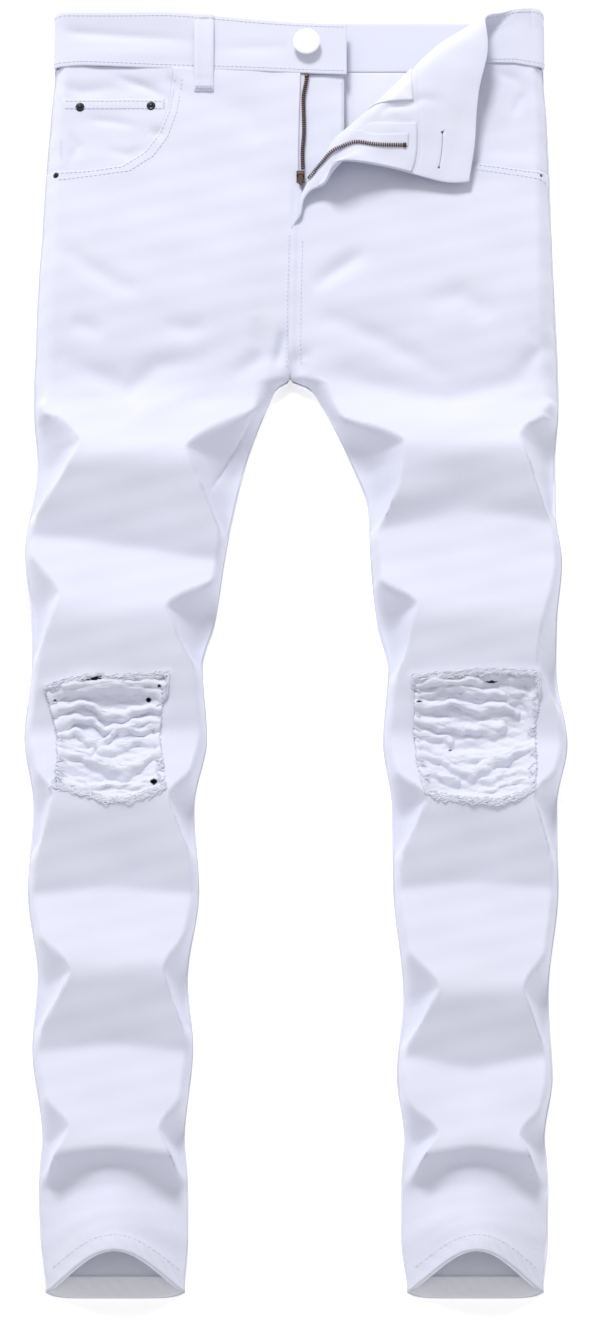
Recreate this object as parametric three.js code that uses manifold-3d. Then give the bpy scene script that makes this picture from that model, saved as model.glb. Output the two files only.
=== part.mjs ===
// Ripped skinny jeans, laid flat on a surface with the front up, the fly open and the
// wearer's left front folded outwards. Units are millimetres. +X is the wearer's left,
// +Y runs from the hems to the waist and +Z is up. "Right" and "left" are the wearer's.
//
// The cloth is a set of thin walls. Each front panel is a grid of points on one height
// form: low at its side seams, lifted by the ridges that the pushed-up legs make. The
// left front and its waistband go through one fold, which rolls the open corner over.
// Every piece that lies on a panel is made from the same form, moved out or in.

import * as THREE from 'three';
import { mergeVertices } from 'three/addons/utils/BufferGeometryUtils.js';
import Module from 'manifold-3d';

// ---------------------------------------------------------------- driving dimensions

const ORIGIN_SHIFT = [3.7, -15.75, 0];   // puts the origin under the middle of the box
const CLOTH = 1.5;               // denim, with its surface fuzz
const BAND_CLOTH = 2.4;          // waistband: two plies and interfacing
const LIGHT_CLOTH = 1.0;         // zip tape, pocket bag, worn weft
const GAP = 0.35;                // between pieces that touch
const WAIST_BAND_HEIGHT = 40;
const BACK_BAND_BOTTOM = 470;    // height up the garment where the back meets its band
const LEFT_BAND_BOTTOM = 473;
const CROTCH_Y = 220;
const FLY_FOOT = { x: -5.3, y: 341 };        // where the open fly's fold starts
const FOLD_TOP = { x: 151.6, y: 512 };       // where the fold leaves the waist
const FLY_EDGE = -13;                        // free edge of the left front, unfolded
const HEM_Y = -478;
const BACK_HEM_Y = -482.5;
const HEM_TURN = 16;                         // turned-up hem, inside
const HEM_ARCH_PULL = 24;                    // how far the raised hem draws back
const SEAM_HEIGHT = CLOTH + GAP + CLOTH / 2; // a front panel's middle at its side seams
const ROW_STEP = 21;
const BUTTON_RADIUS = 10.4;
const RIVET_RADIUS = 3.6;
const SIDE_RIVET_RADIUS = 2.6;

// Stations down each side, from the waist to the hem. outer and inner are the outline,
// top is the height of the cloth's middle, outerRamp and innerRamp are how far in from
// each seam the slope reaches, and bow is how much further down a crease runs at the
// seams than at its centre. A ridge is narrow with long ramps, a trough is wide.
const STATIONS = {
  right: [
    { y: 473, outer: -189.0, inner: -7.0, top: 14, outerRamp: 9, innerRamp: 26, bow: 0 },
    { y: 430, outer: -192.2, inner: -7.0, top: 15, outerRamp: 10, innerRamp: 26, bow: 0 },
    { y: 380, outer: -195.6, inner: -7.0, top: 16, outerRamp: 11, innerRamp: 26, bow: 0 },
    { y: 330, outer: -198.1, inner: -7.0, top: 20, outerRamp: 13, innerRamp: 26, bow: 0 },
    { y: 283, outer: -200.7, inner: -7.2, top: 22, outerRamp: 14, innerRamp: 26, bow: 0 },
    { y: 240, outer: -201.6, inner: -7.6, top: 20, outerRamp: 15, innerRamp: 24, bow: 0 },
    { y: 220, outer: -202.4, inner: -8.0, top: 18, outerRamp: 16, innerRamp: 22, bow: 0 },
    { y: 213, outer: -202.6, inner: -18.0, top: 18, outerRamp: 18, innerRamp: 22, bow: 0 },
    { y: 200, outer: -202.6, inner: -24.0, top: 20.5, outerRamp: 21, innerRamp: 25, bow: 0 },
    { y: 150, outer: -199.2, inner: -41.5, top: 44, outerRamp: 31, innerRamp: 33, bow: 0 },
    { y: 84, outer: -207.8, inner: -55.6, top: 21, outerRamp: 7, innerRamp: 7, bow: 6 },
    { y: 28, outer: -202.4, inner: -64.0, top: 40, outerRamp: 20, innerRamp: 35, bow: 0 },
    { y: -6, outer: -201.7, inner: -72.9, top: 32, outerRamp: 14, innerRamp: 20, bow: 0 },
    { y: -60, outer: -206.6, inner: -69.4, top: 18, outerRamp: 6, innerRamp: 6, bow: 0 },
    { y: -114, outer: -199.2, inner: -78.8, top: 36, outerRamp: 15, innerRamp: 18, bow: 0 },
    { y: -178, outer: -202.6, inner: -74.8, top: 16, outerRamp: 6, innerRamp: 6, bow: 6 },
    { y: -244, outer: -194.6, inner: -83.0, top: 36, outerRamp: 25, innerRamp: 17, bow: 0 },
    { y: -296, outer: -197.9, inner: -78.8, top: 15, outerRamp: 6, innerRamp: 6, bow: 6 },
    { y: -366, outer: -189.7, inner: -84.8, top: 34, outerRamp: 20, innerRamp: 18, bow: 10 },
    { y: -391, outer: -191.9, inner: -82.0, top: 22, outerRamp: 9, innerRamp: 9, bow: 26 },
    { y: -440, outer: -190.2, inner: -81.8, top: 34, outerRamp: 9, innerRamp: 9, bow: 0 },
    { y: HEM_Y, outer: -186.2, inner: -84.0, top: 42, outerRamp: 9, innerRamp: 9, bow: 0 },
  ],
  left: [
    { y: 473, outer: 187.6, inner: -6.7, top: 14, outerRamp: 9, innerRamp: 26, bow: 0 },
    { y: 430, outer: 190.0, inner: -6.7, top: 15, outerRamp: 10, innerRamp: 26, bow: 0 },
    { y: 380, outer: 191.8, inner: -6.7, top: 16, outerRamp: 11, innerRamp: 26, bow: 0 },
    { y: 330, outer: 192.9, inner: -6.7, top: 20, outerRamp: 13, innerRamp: 26, bow: 0 },
    { y: 283, outer: 194.6, inner: -6.9, top: 22, outerRamp: 14, innerRamp: 26, bow: 0 },
    { y: 240, outer: 196.2, inner: -7.3, top: 20, outerRamp: 15, innerRamp: 24, bow: 0 },
    { y: 220, outer: 196.6, inner: -7.0, top: 18, outerRamp: 16, innerRamp: 22, bow: 0 },
    { y: 213, outer: 196.7, inner: 7.5, top: 18, outerRamp: 18, innerRamp: 22, bow: 0 },
    { y: 200, outer: 196.6, inner: 16.4, top: 20.5, outerRamp: 21, innerRamp: 25, bow: 0 },
    { y: 154, outer: 193.6, inner: 38.4, top: 44, outerRamp: 27, innerRamp: 33, bow: 0 },
    { y: 116, outer: 193.6, inner: 51.4, top: 23, outerRamp: 15, innerRamp: 12, bow: 22 },
    { y: 78, outer: 197.8, inner: 53.0, top: 28, outerRamp: 8, innerRamp: 8, bow: 6 },
    { y: 28, outer: 193.4, inner: 57.8, top: 40, outerRamp: 14, innerRamp: 30, bow: 0 },
    { y: -8, outer: 192.6, inner: 65.8, top: 32, outerRamp: 12, innerRamp: 18, bow: 0 },
    { y: -64, outer: 200.4, inner: 62.0, top: 18, outerRamp: 6, innerRamp: 6, bow: 0 },
    { y: -113, outer: 192.0, inner: 68.4, top: 36, outerRamp: 18, innerRamp: 25, bow: 0 },
    { y: -174, outer: 192.4, inner: 69.0, top: 17, outerRamp: 6, innerRamp: 6, bow: 6 },
    { y: -258, outer: 184.0, inner: 76.3, top: 36, outerRamp: 19, innerRamp: 25, bow: 0 },
    { y: -306, outer: 186.7, inner: 70.7, top: 15, outerRamp: 6, innerRamp: 6, bow: 6 },
    { y: -366, outer: 180.0, inner: 76.6, top: 34, outerRamp: 19, innerRamp: 24, bow: 10 },
    { y: -391, outer: 182.4, inner: 74.2, top: 22, outerRamp: 9, innerRamp: 9, bow: 26 },
    { y: -440, outer: 181.6, inner: 74.0, top: 34, outerRamp: 9, innerRamp: 9, bow: 0 },
    { y: HEM_Y, outer: 178.1, inner: 78.1, top: 42, outerRamp: 9, innerRamp: 9, bow: 0 },
  ],
};

// How far the front's inseam lies inside the back's edge, which shows beside the thigh.
const INSEAM_INSET = [[240, 0], [205, 3], [175, 8], [130, 20], [100, 15], [70, 6], [30, 2], [-480, 1.5]];
const OUTSEAM_INSET = 2.2;
const FACET_ROUNDNESS = { soft: 2.2, planar: 1.15, narrow: 7, wide: 26 };  // slopes by ramp
const SEAM_TROUGH = 5;           // the centre seam lies this far below the hips beside it

// The seam between the fronts up to the fly's foot, and between the backs all the way.
const CENTRE_SEAM = [[220, -7.6], [283, -7.0], [337, -5.9], [470, -5.9]];

// The right front's free edge beside the zip, cut back round the slider.
const RIGHT_EDGE = [[337, -6.1], [352, -6.4], [366, -3.4], [386, -3.2], [394, -1.2], [430, -0.6],
  [470, 0.4]];

// The fold: distance along it, offset of its axis towards the wearer's right, its radius.
const FOLD_AXIS = [[0, -2], [20, 6], [75, 12], [120, 6], [165, 5.5], [214, -4], [240, -13]];
const FOLD_RADIUS = [[0, 2], [30, 4.5], [75, 8], [120, 10], [240, 11]];
// The folded corner beyond the roll: how high it rests, how its zip edge stands up and is
// drawn back to the roll, and how its waist edge and its corner are pushed aside.
const FLAP_REST = 9;
const FLAP_SETTLED = 90;         // this far beyond the roll it lies at its rest height
const ZIP_EDGE = { along: 48, spread: 34, rise: 15, drawnBack: 0.48 };
const WAIST_EDGE = { along: 198, spread: 40, aside: 15 };
const CORNER_PUSH = { aside: 8, down: 6 };

// Knee rips: outline corners in order, and the long slits between the bands of weft.
const RIPS = {
  right: {
    outline: [[-188, -29], [-172, -23], [-158, -20], [-128, -20], [-102, -19], [-93, -17],
      [-97, -40], [-99, -66], [-96, -88], [-93, -108], [-108, -112], [-124, -118],
      [-142, -116], [-162, -110], [-184, -105], [-181, -84], [-184, -62], [-186, -44]],
    slits: [[-172, -116, -34, 3.0], [-178, -112, -48, 3.2], [-166, -108, -63, 3.4],
      [-176, -112, -79, 3.2], [-168, -104, -95, 3.2]],
    weftReach: [-122, -14],
  },
  left: {
    outline: [[80, -15], [94, -22], [118, -18], [150, -16], [184, -19], [186, -34],
      [181, -60], [183, -84], [180, -106], [164, -113], [146, -117], [124, -116],
      [104, -113], [92, -109], [84, -88], [81, -60], [84, -38]],
    slits: [[96, 160, -32, 3.0], [90, 168, -47, 3.2], [98, 166, -62, 3.4],
      [94, 172, -78, 3.2], [104, 170, -94, 3.2]],
    weftReach: [-121, -12],
  },
};

// Front pocket mouths, from the waistband round to the side seam.
const POCKET_MOUTH = {
  right: [[-98, 480], [-98.5, 455], [-102, 433], [-109, 416.5], [-120.5, 400.5],
    [-138, 388.5], [-165, 384.6], [-215, 384.6]],
  left: [[128, 480], [128, 391], [140, 390], [160, 387], [176, 384.6], [215, 384.6]],
};
const FACING_REACH = 372;        // the facings end here, below the mouths
const FACING_INNER = { right: 90, left: 112 };
const SIDE_MOUTH_Y = 385;        // a facing's side edge starts here, at the side seam

// ---------------------------------------------------------------- curves and helpers

const clamp = (value, low, high) => Math.min(high, Math.max(low, value));
const mix = (a, b, t) => a + (b - a) * t;
const smooth = (low, high, value) => {
  const t = clamp((value - low) / (high - low), 0, 1);
  return t * t * (3 - 2 * t);
};
const bump = (value, centre, spread) => Math.exp(-(((value - centre) / spread) ** 2));

/** Monotone cubic through [position, value] pairs, constant past both ends. */
function curveThrough(pairs) {
  const knots = [...pairs].sort((a, b) => a[0] - b[0]);
  const steps = knots.slice(1).map((k, i) => (k[1] - knots[i][1]) / (k[0] - knots[i][0]));
  const slopes = knots.map((_, i) => {
    if (i === 0 || i === knots.length - 1) return 0;
    if (steps[i - 1] * steps[i] <= 0) return 0;
    return 2 / (1 / steps[i - 1] + 1 / steps[i]);
  });
  return (position) => {
    if (position <= knots[0][0]) return knots[0][1];
    if (position >= knots.at(-1)[0]) return knots.at(-1)[1];
    const i = knots.findIndex((k) => k[0] > position) - 1;
    const span = knots[i + 1][0] - knots[i][0];
    const t = (position - knots[i][0]) / span;
    return knots[i][1] * (1 + 2 * t) * (1 - t) ** 2 + slopes[i] * span * t * (1 - t) ** 2
      + knots[i + 1][1] * t * t * (3 - 2 * t) + slopes[i + 1] * span * t * t * (t - 1);
  };
}

const field = (side, name) => curveThrough(STATIONS[side].map((s) => [s.y, s[name]]));
const FORM = Object.fromEntries(['right', 'left'].map((side) => [side, {
  outer: field(side, 'outer'),
  inner: field(side, 'inner'),
  top: field(side, 'top'),
  outerRamp: field(side, 'outerRamp'),
  innerRamp: field(side, 'innerRamp'),
  bow: field(side, 'bow'),
}]));
const inseamInset = curveThrough(INSEAM_INSET);
const centreSeam = curveThrough(CENTRE_SEAM);
const rightEdge = curveThrough(RIGHT_EDGE);
const foldAxis = curveThrough(FOLD_AXIS);
const foldRadius = curveThrough(FOLD_RADIUS);
const outward = { right: -1, left: 1 };

/** The waistband's lower edge on the front: it leans on the right, and meets the back's. */
function bandBottom(side, x) {
  const onFront = side === 'right' ? 464.8 - 0.036 * x : LEFT_BAND_BOTTOM;
  return mix(onFront, BACK_BAND_BOTTOM, smooth(165, 182, Math.abs(x)));
}

/** A front panel's outseam and inseam at a height up the garment. */
const frontOuter = (side, y) => FORM[side].outer(y) - outward[side] * OUTSEAM_INSET;
const frontInner = (side, y) => FORM[side].inner(y) + outward[side] * inseamInset(y);

// ---------------------------------------------------------------- the cloth's form

/** Share of the full height that a slope has reached, a given way up its ramp. */
function rampShare(distance, ramp) {
  const { soft, planar, narrow, wide } = FACET_ROUNDNESS;
  const roundness = mix(soft, planar, smooth(narrow, wide, ramp));
  return 1 - (1 - clamp(distance / ramp, 0, 1)) ** roundness;
}

/** Height of the middle of the front cloth above the surface. */
function frontHeight(side, x, y) {
  const form = FORM[side];
  const centre = (frontOuter(side, y) + frontInner(side, y)) / 2;
  const half = Math.abs(frontOuter(side, y) - frontInner(side, y)) / 2;
  const across = clamp((x - centre) / half, -1, 1);
  const hips = smooth(198, 242, y);
  const top = form.top(y + form.bow(y) * across * across * (1 - hips));
  const out = rampShare(Math.abs(x - frontOuter(side, y)), form.outerRamp(y));
  const into = rampShare(Math.abs(x - frontInner(side, y)), form.innerRamp(y));
  const flat = Math.min(out, mix(into, 1, hips));
  const arch = Math.max(Math.cos(across * Math.PI / 2), 0) ** 1.2;
  const tent = smooth(-392, -425, y);
  const seamTrough = SEAM_TROUGH * bump(x, -7, 24) * bump(y, 270, 70);
  return SEAM_HEIGHT + (top - SEAM_HEIGHT) * mix(flat, arch, tent) - seamTrough * hips;
}

/** A point of the front cloth before the fold: plan place, pulled back at the hem. */
function flatPoint(side, x, y) {
  const centre = (frontOuter(side, y) + frontInner(side, y)) / 2;
  const half = Math.abs(frontOuter(side, y) - frontInner(side, y)) / 2;
  const across = clamp((x - centre) / half, -1, 1);
  const pull = HEM_ARCH_PULL * Math.cos(across * Math.PI / 2) ** 1.2 * smooth(-400, HEM_Y, y);
  return new THREE.Vector3(x, y + pull, frontHeight(side, x, y));
}

const foldLength = Math.hypot(FOLD_TOP.x - FLY_FOOT.x, FOLD_TOP.y - FLY_FOOT.y);
const foldAlong = {
  x: (FOLD_TOP.x - FLY_FOOT.x) / foldLength,
  y: (FOLD_TOP.y - FLY_FOOT.y) / foldLength,
};
const foldAcross = { x: -foldAlong.y, y: foldAlong.x };

/** Distance along the fold, and how far past its axis a point of the cloth lies. */
function foldPlace(x, y) {
  const dx = x - FLY_FOOT.x;
  const dy = y - FLY_FOOT.y;
  const along = dx * foldAlong.x + dy * foldAlong.y;
  const past = dx * foldAcross.x + dy * foldAcross.y - foldAxis(along);
  return { along, past, radius: foldRadius(along) };
}

/** A point of the left front: flat as far as the fold, then rolled over on top. */
function foldedPoint(x, y) {
  const { along, past, radius } = foldPlace(x, y);
  if (past <= 0 || y < FLY_FOOT.y - 8) return flatPoint('left', x, y);
  const axis = foldAxis(along);
  const axisX = FLY_FOOT.x + along * foldAlong.x + axis * foldAcross.x;
  const axisY = FLY_FOOT.y + along * foldAlong.y + axis * foldAcross.y;
  const base = frontHeight('left', axisX, axisY);
  const angle = past / radius;
  let offset = radius * Math.sin(angle);
  let rise = radius * (1 - Math.cos(angle));
  let corner = 0;
  if (angle > Math.PI) {
    const width = past - Math.PI * radius;
    const lift = bump(along, ZIP_EDGE.along, ZIP_EDGE.spread);
    offset = -width * (1 - ZIP_EDGE.drawnBack * lift * smooth(0, 24, width));
    rise = mix(2 * radius, Math.min(2 * radius, FLAP_REST), smooth(0, FLAP_SETTLED, width))
      + ZIP_EDGE.rise * lift * smooth(2, 26, width);
    corner = smooth(40, 85, width) * smooth(150, 110, along);
  }
  const aside = WAIST_EDGE.aside * bump(along, WAIST_EDGE.along, WAIST_EDGE.spread)
    * smooth(0, 56, past) - CORNER_PUSH.aside * corner;
  return new THREE.Vector3(axisX + offset * foldAcross.x + aside,
    axisY + offset * foldAcross.y - CORNER_PUSH.down * corner, base + rise);
}

const clothPoint = (side, x, y) => (side === 'left' ? foldedPoint(x, y) : flatPoint(side, x, y));

// ---------------------------------------------------------------- grids and walls

/** A grid of points with the outward direction of the surface at each. */
function gridWithNormals(points) {
  const normals = points.map((row, i) => row.map((_, j) => {
    const up = points[Math.min(i + 1, points.length - 1)][j];
    const down = points[Math.max(i - 1, 0)][j];
    const right = row[Math.min(j + 1, row.length - 1)];
    const left = row[Math.max(j - 1, 0)];
    const normal = new THREE.Vector3().crossVectors(
      right.clone().sub(left), up.clone().sub(down));
    return normal.normalize();
  }));
  return { points, normals };
}

const part = (grid, rows, columns) => ({
  points: grid.points.slice(...rows).map((row) => row.slice(...columns)),
  normals: grid.normals.slice(...rows).map((row) => row.slice(...columns)),
});

/** A closed wall from a grid, both faces and the rim, shifted out by a length or per column. */
function wall(grid, thickness, shift = 0) {
  const rows = grid.points.length;
  const columns = grid.points[0].length;
  const shiftAt = (j) => (typeof shift === 'number' ? shift : shift[Math.min(j, shift.length - 1)]);
  const place = (i, j, half) => grid.points[i][j].clone()
    .addScaledVector(grid.normals[i][j], shiftAt(j) + half);
  const positions = [];
  for (const half of [thickness / 2, -thickness / 2]) {
    for (let i = 0; i < rows; i++) {
      for (let j = 0; j < columns; j++) positions.push(...place(i, j, half).toArray());
    }
  }
  const upper = (i, j) => i * columns + j;
  const lower = (i, j) => rows * columns + i * columns + j;
  const index = [];
  const quad = (a, b, c, d) => index.push(a, b, c, a, c, d);
  for (let i = 0; i < rows - 1; i++) {
    for (let j = 0; j < columns - 1; j++) {
      quad(upper(i, j), upper(i, j + 1), upper(i + 1, j + 1), upper(i + 1, j));
      quad(lower(i, j), lower(i + 1, j), lower(i + 1, j + 1), lower(i, j + 1));
    }
  }
  for (let j = 0; j < columns - 1; j++) {
    const last = rows - 1;
    quad(lower(0, j), lower(0, j + 1), upper(0, j + 1), upper(0, j));
    quad(upper(last, j), upper(last, j + 1), lower(last, j + 1), lower(last, j));
  }
  for (let i = 0; i < rows - 1; i++) {
    const last = columns - 1;
    quad(upper(i, 0), upper(i + 1, 0), lower(i + 1, 0), lower(i, 0));
    quad(lower(i, last), lower(i + 1, last), upper(i + 1, last), upper(i, last));
  }
  return geometryFrom(positions, index);
}

/** An indexed geometry whose faces point out. */
function geometryFrom(positions, index) {
  const geometry = new THREE.BufferGeometry();
  geometry.setAttribute('position', new THREE.Float32BufferAttribute(positions, 3));
  geometry.setIndex(index);
  if (signedVolume(geometry) < 0) {
    for (let k = 0; k < index.length; k += 3) {
      [index[k + 1], index[k + 2]] = [index[k + 2], index[k + 1]];
    }
    geometry.setIndex(index);
  }
  geometry.computeVertexNormals();
  return geometry;
}

function signedVolume(geometry) {
  const position = geometry.attributes.position;
  const index = geometry.index.array;
  const [a, b, c] = [0, 0, 0].map(() => new THREE.Vector3());
  let volume = 0;
  for (let k = 0; k < index.length; k += 3) {
    a.fromBufferAttribute(position, index[k]);
    b.fromBufferAttribute(position, index[k + 1]);
    c.fromBufferAttribute(position, index[k + 2]);
    volume += a.dot(b.cross(c));
  }
  return volume;
}

const wasm = await Module();
wasm.setup();

/** A closed three.js geometry as a solid that can be cut and joined. */
function solid(geometry) {
  const bare = geometry.clone();
  bare.deleteAttribute('normal');
  bare.deleteAttribute('uv');
  const merged = mergeVertices(bare, 1e-4);
  const mesh = new wasm.Mesh({
    numProp: 3,
    vertProperties: new Float32Array(merged.attributes.position.array),
    triVerts: new Uint32Array(merged.index.array),
  });
  return new wasm.Manifold(mesh);
}

function geometryOf(body) {
  const mesh = body.getMesh();
  return geometryFrom(Array.from(mesh.vertProperties), Array.from(mesh.triVerts));
}

/** An upright prism from a closed outline in plan. */
function prism(outline, low, high) {
  const shape = new THREE.Shape(outline.map(([x, y]) => new THREE.Vector2(x, y)));
  const geometry = new THREE.ExtrudeGeometry(shape, { depth: high - low, bevelEnabled: false });
  return geometry.translate(0, 0, low);
}

const subtract = (geometry, cutters) => geometryOf(
  cutters.reduce((body, cutter) => body.subtract(solid(cutter)), solid(geometry)));

const join = (geometries) => geometryOf(
  geometries.slice(1).reduce((body, next) => body.add(solid(next)), solid(geometries[0])));

// ---------------------------------------------------------------- parts and materials

const MATERIALS = {
  denim: new THREE.MeshStandardMaterial({ color: 0xe6e7f6, roughness: 0.9, metalness: 0 }),
  inside: new THREE.MeshStandardMaterial({ color: 0xdcdbee, roughness: 0.92, metalness: 0 }),
  bag: new THREE.MeshStandardMaterial({ color: 0xf1f1fb, roughness: 0.9, metalness: 0 }),
  brass: new THREE.MeshStandardMaterial({ color: 0x5a4a40, roughness: 0.45, metalness: 0.9 }),
  button: new THREE.MeshStandardMaterial({ color: 0xfafafc, roughness: 0.2, metalness: 0 }),
};

const jeans = new THREE.Group();
jeans.position.set(...ORIGIN_SHIFT);

/** Adds a named piece to the jeans. */
function add(name, geometry, material) {
  const mesh = new THREE.Mesh(geometry, material.clone());
  mesh.name = name;
  jeans.add(mesh);
  return mesh;
}

/** Heights of the rows of a panel: every station, and steps between them. */
function rowHeights(side, top, bottom, step) {
  const marks = [top, ...STATIONS[side].map((s) => s.y), bottom, FACING_REACH, FLY_FOOT.y - 6]
    .filter((y) => y <= top && y >= bottom)
    .sort((a, b) => b - a);
  const rows = [top];
  for (const mark of marks) {
    const last = rows.at(-1);
    if (last - mark < 3) continue;
    const count = Math.ceil((last - mark) / step);
    for (let k = 1; k <= count; k++) rows.push(mix(last, mark, k / count));
  }
  return rows;
}

/** Places across a front panel at one height, close together on its slopes. */
function columnPlaces(side, y) {
  const sign = outward[side];
  const outer = frontOuter(side, y);
  const outerRamp = FORM[side].outerRamp(y);
  const rampSteps = [0, 0.3, 0.65, 1];
  let inner = frontInner(side, y);
  if (y > CROTCH_Y) inner = centreSeam(y) + sign * GAP / 2;
  if (side === 'right' && y > FLY_FOOT.y - 4) inner = rightEdge(y);
  const innerRamp = FORM[side].innerRamp(y);
  const outerPlaces = rampSteps.map((t) => outer - sign * outerRamp * t);
  const innerPlaces = rampSteps.map((t) => inner + sign * innerRamp * t).reverse();
  const middle = [0.2, 0.4, 0.6, 0.8].map((t) => mix(outerPlaces.at(-1), innerPlaces[0], t));
  return [...outerPlaces, ...middle, ...innerPlaces];
}

/** Where a row of the left front crosses a given share of the fold's turn. */
function foldCrossing(y, share) {
  let [low, high] = [FLY_EDGE - 60, FORM.left.outer(y)];
  for (let k = 0; k < 40; k++) {
    const mid = (low + high) / 2;
    const { past, radius } = foldPlace(mid, y);
    if (past > share * Math.PI * radius) low = mid;
    else high = mid;
  }
  return low;
}

/** Free edge of the left front, as it lies unfolded: it runs out from the fly's foot. */
const flyEdge = (y) => mix(centreSeam(y) + GAP / 2, FLY_EDGE, smooth(FLY_FOOT.y - 4, 400, y));

/** Places across the left front above the fly's foot: flap, roll and lower layer. */
function foldedPlaces(y) {
  const outer = frontOuter('left', y);
  const ramp = FORM.left.outerRamp(y);
  const turn = [0, 0.25, 0.5, 0.75, 1].map((share) => foldCrossing(y, share));
  const edge = flyEdge(y);
  const places = [outer, outer - 0.3 * ramp, outer - ramp, mix(outer - ramp, turn[0], 0.5),
    ...turn, mix(turn[4], edge, 0.4), mix(turn[4], edge, 0.7), edge];
  const least = 0.9;
  return places.map((x, j) => Math.max(x, edge + least * (places.length - 1 - j)));
}

/** The grid of a front panel, from the waistband seam to the hem. */
function frontGrid(side) {
  const rows = rowHeights(side, BACK_BAND_BOTTOM, HEM_Y, ROW_STEP);
  const places = rows.map((y) => (side === 'left' && y > FLY_FOOT.y - 6
    ? foldedPlaces(y) : columnPlaces(side, y)));
  const points = rows.map((y, i) => places[i].map((x) => {
    const lean = smooth(430, BACK_BAND_BOTTOM, y) * (bandBottom(side, x) - GAP - BACK_BAND_BOTTOM);
    return clothPoint(side, x, y + lean);
  }));
  return { rows, places, ...faceUp(gridWithNormals(points)) };
}

/** The two rows of a front's grid that a height lies between, and the places across there. */
function rowsAround(side, y) {
  const { rows, places } = fronts[side];
  const below = clamp(rows.findIndex((row) => row < y), 1, rows.length - 1);
  const down = (y - rows[below - 1]) / (rows[below] - rows[below - 1]);
  const across = places[below].map((place, j) => mix(places[below - 1][j], place, down));
  return { below, down, across };
}

/** A point on a front panel's own facets, from its place across and up the cloth. */
function onFront(side, x, y) {
  const { points } = fronts[side];
  const { below, down, across } = rowsAround(side, y);
  const rising = across.at(-1) > across[0];
  const past = across.findIndex((place) => (rising ? place > x : place < x));
  const j = clamp(past < 0 ? across.length - 1 : past, 1, across.length - 1);
  const t = (x - across[j - 1]) / (across[j] - across[j - 1]);
  const corner = (i, k) => points[below - 1 + i][j - 1 + k].clone();
  const [first, last] = [corner(0, 0), corner(1, 1)];
  const [third, alongThird] = t > down ? [corner(0, 1), t] : [corner(1, 0), down];
  const alongLast = Math.min(t, down);
  return first.clone()
    .addScaledVector(third.clone().sub(first), alongThird)
    .addScaledVector(last.clone().sub(third), alongLast);
}

/** Turns a grid's normals so that they face up at its last row. */
function faceUp(grid) {
  const lastRow = grid.normals.at(-1);
  if (lastRow[lastRow.length >> 1].z < 0) {
    grid.normals.forEach((row) => row.forEach((normal) => normal.negate()));
  }
  return grid;
}

/** A grid over part of a front: heights run down, places run towards +X. */
function patchGrid(side, places, heights) {
  const points = heights.map((y) => places.map(
    (x) => onFront(side, typeof x === 'function' ? x(y) : x, y)));
  const grid = gridWithNormals(points);
  grid.normals.forEach((row) => row.forEach((normal) => normal.negate()));
  return grid;
}

const evenly = (from, to, count) => Array.from(
  { length: count + 1 }, (_, k) => mix(from, to, k / count));
const rowRange = (rows, top, bottom) => [
  rows.findIndex((y) => y <= top + 0.01),
  rows.findLastIndex((y) => y >= bottom - 0.01) + 1,
];

// ---------------------------------------------------------------- panels

const SIDES = ['right', 'left'];
const fronts = { right: frontGrid('right'), left: frontGrid('left') };

const UNDER_FLAP = 18.4;         // above the lower layer of cloth and below the flap

/** Outline in plan that a pocket mouth takes out of a front panel. */
function mouthOutline(side) {
  const beyond = outward[side] * 240;
  return [...POCKET_MOUTH[side], [beyond, 385], [beyond, 480]];
}

/** A front panel, with its pocket mouth and its knee rip cut out. */
function makeFront(side) {
  const cuts = [prism(RIPS[side].outline, -10, 90)];
  cuts.push(prism(mouthOutline(side), -10, side === 'right' ? 90 : UNDER_FLAP));
  add(`front_${side}`, subtract(wall(fronts[side], CLOTH), cuts), MATERIALS.denim);
}

/** A back panel, flat on the surface. */
function makeBack(side) {
  const sign = outward[side];
  const heights = rowHeights(side, BACK_BAND_BOTTOM - GAP, BACK_HEM_Y, 30);
  const points = heights.map((y) => {
    const outer = FORM[side].outer(y);
    const inner = y > CROTCH_Y ? centreSeam(y) + sign * GAP / 2 : FORM[side].inner(y);
    const places = [outer, mix(outer, inner, 0.33), mix(outer, inner, 0.67), inner];
    return places.map((x) => new THREE.Vector3(x, y, CLOTH / 2));
  });
  add(`back_${side}`, wall(faceUp(gridWithNormals(points)), CLOTH), MATERIALS.inside);
}

/** Worn weft across a knee rip: the panel's own form moved in, slit between its bands. */
function makeWeft(side) {
  const grid = fronts[side];
  const { weftReach: [low, high], slits } = RIPS[side];
  const patch = part(grid, rowRange(grid.rows, high + ROW_STEP, low - ROW_STEP), [1, -1]);
  const inward = -(CLOTH / 2 + 0.5 + LIGHT_CLOTH / 2);
  const cutters = slits.map(([from, to, y, height]) => prism(
    [[from, y], [mix(from, to, 0.5), y - height * 1.4], [to, y], [mix(from, to, 0.5), y + height * 0.3]],
    -10, 90));
  add(`knee_weft_${side}`, subtract(wall(patch, LIGHT_CLOTH, inward), cutters), MATERIALS.inside);
}

/** The turned-up hem inside a leg: one strip on the back, one under the raised front. */
function makeHemTurn(side) {
  const sign = outward[side];
  const [outer, inner] = [FORM[side].outer(HEM_Y), FORM[side].inner(HEM_Y)];
  const across = evenly(outer - sign * 4, inner + sign * 4, 2);
  const points = [BACK_HEM_Y + HEM_TURN, BACK_HEM_Y + 0.4]
    .map((y) => across.map((x) => new THREE.Vector3(x, y, CLOTH + GAP + LIGHT_CLOTH / 2)));
  add(`hem_turn_back_${side}`, wall(faceUp(gridWithNormals(points)), LIGHT_CLOTH), MATERIALS.inside);
  const grid = fronts[side];
  const strip = part(grid, [-2, undefined], [1, -1]);
  const inward = -(CLOTH / 2 + GAP + LIGHT_CLOTH / 2);
  add(`hem_turn_front_${side}`, wall(strip, LIGHT_CLOTH, inward), MATERIALS.inside);
}

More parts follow.
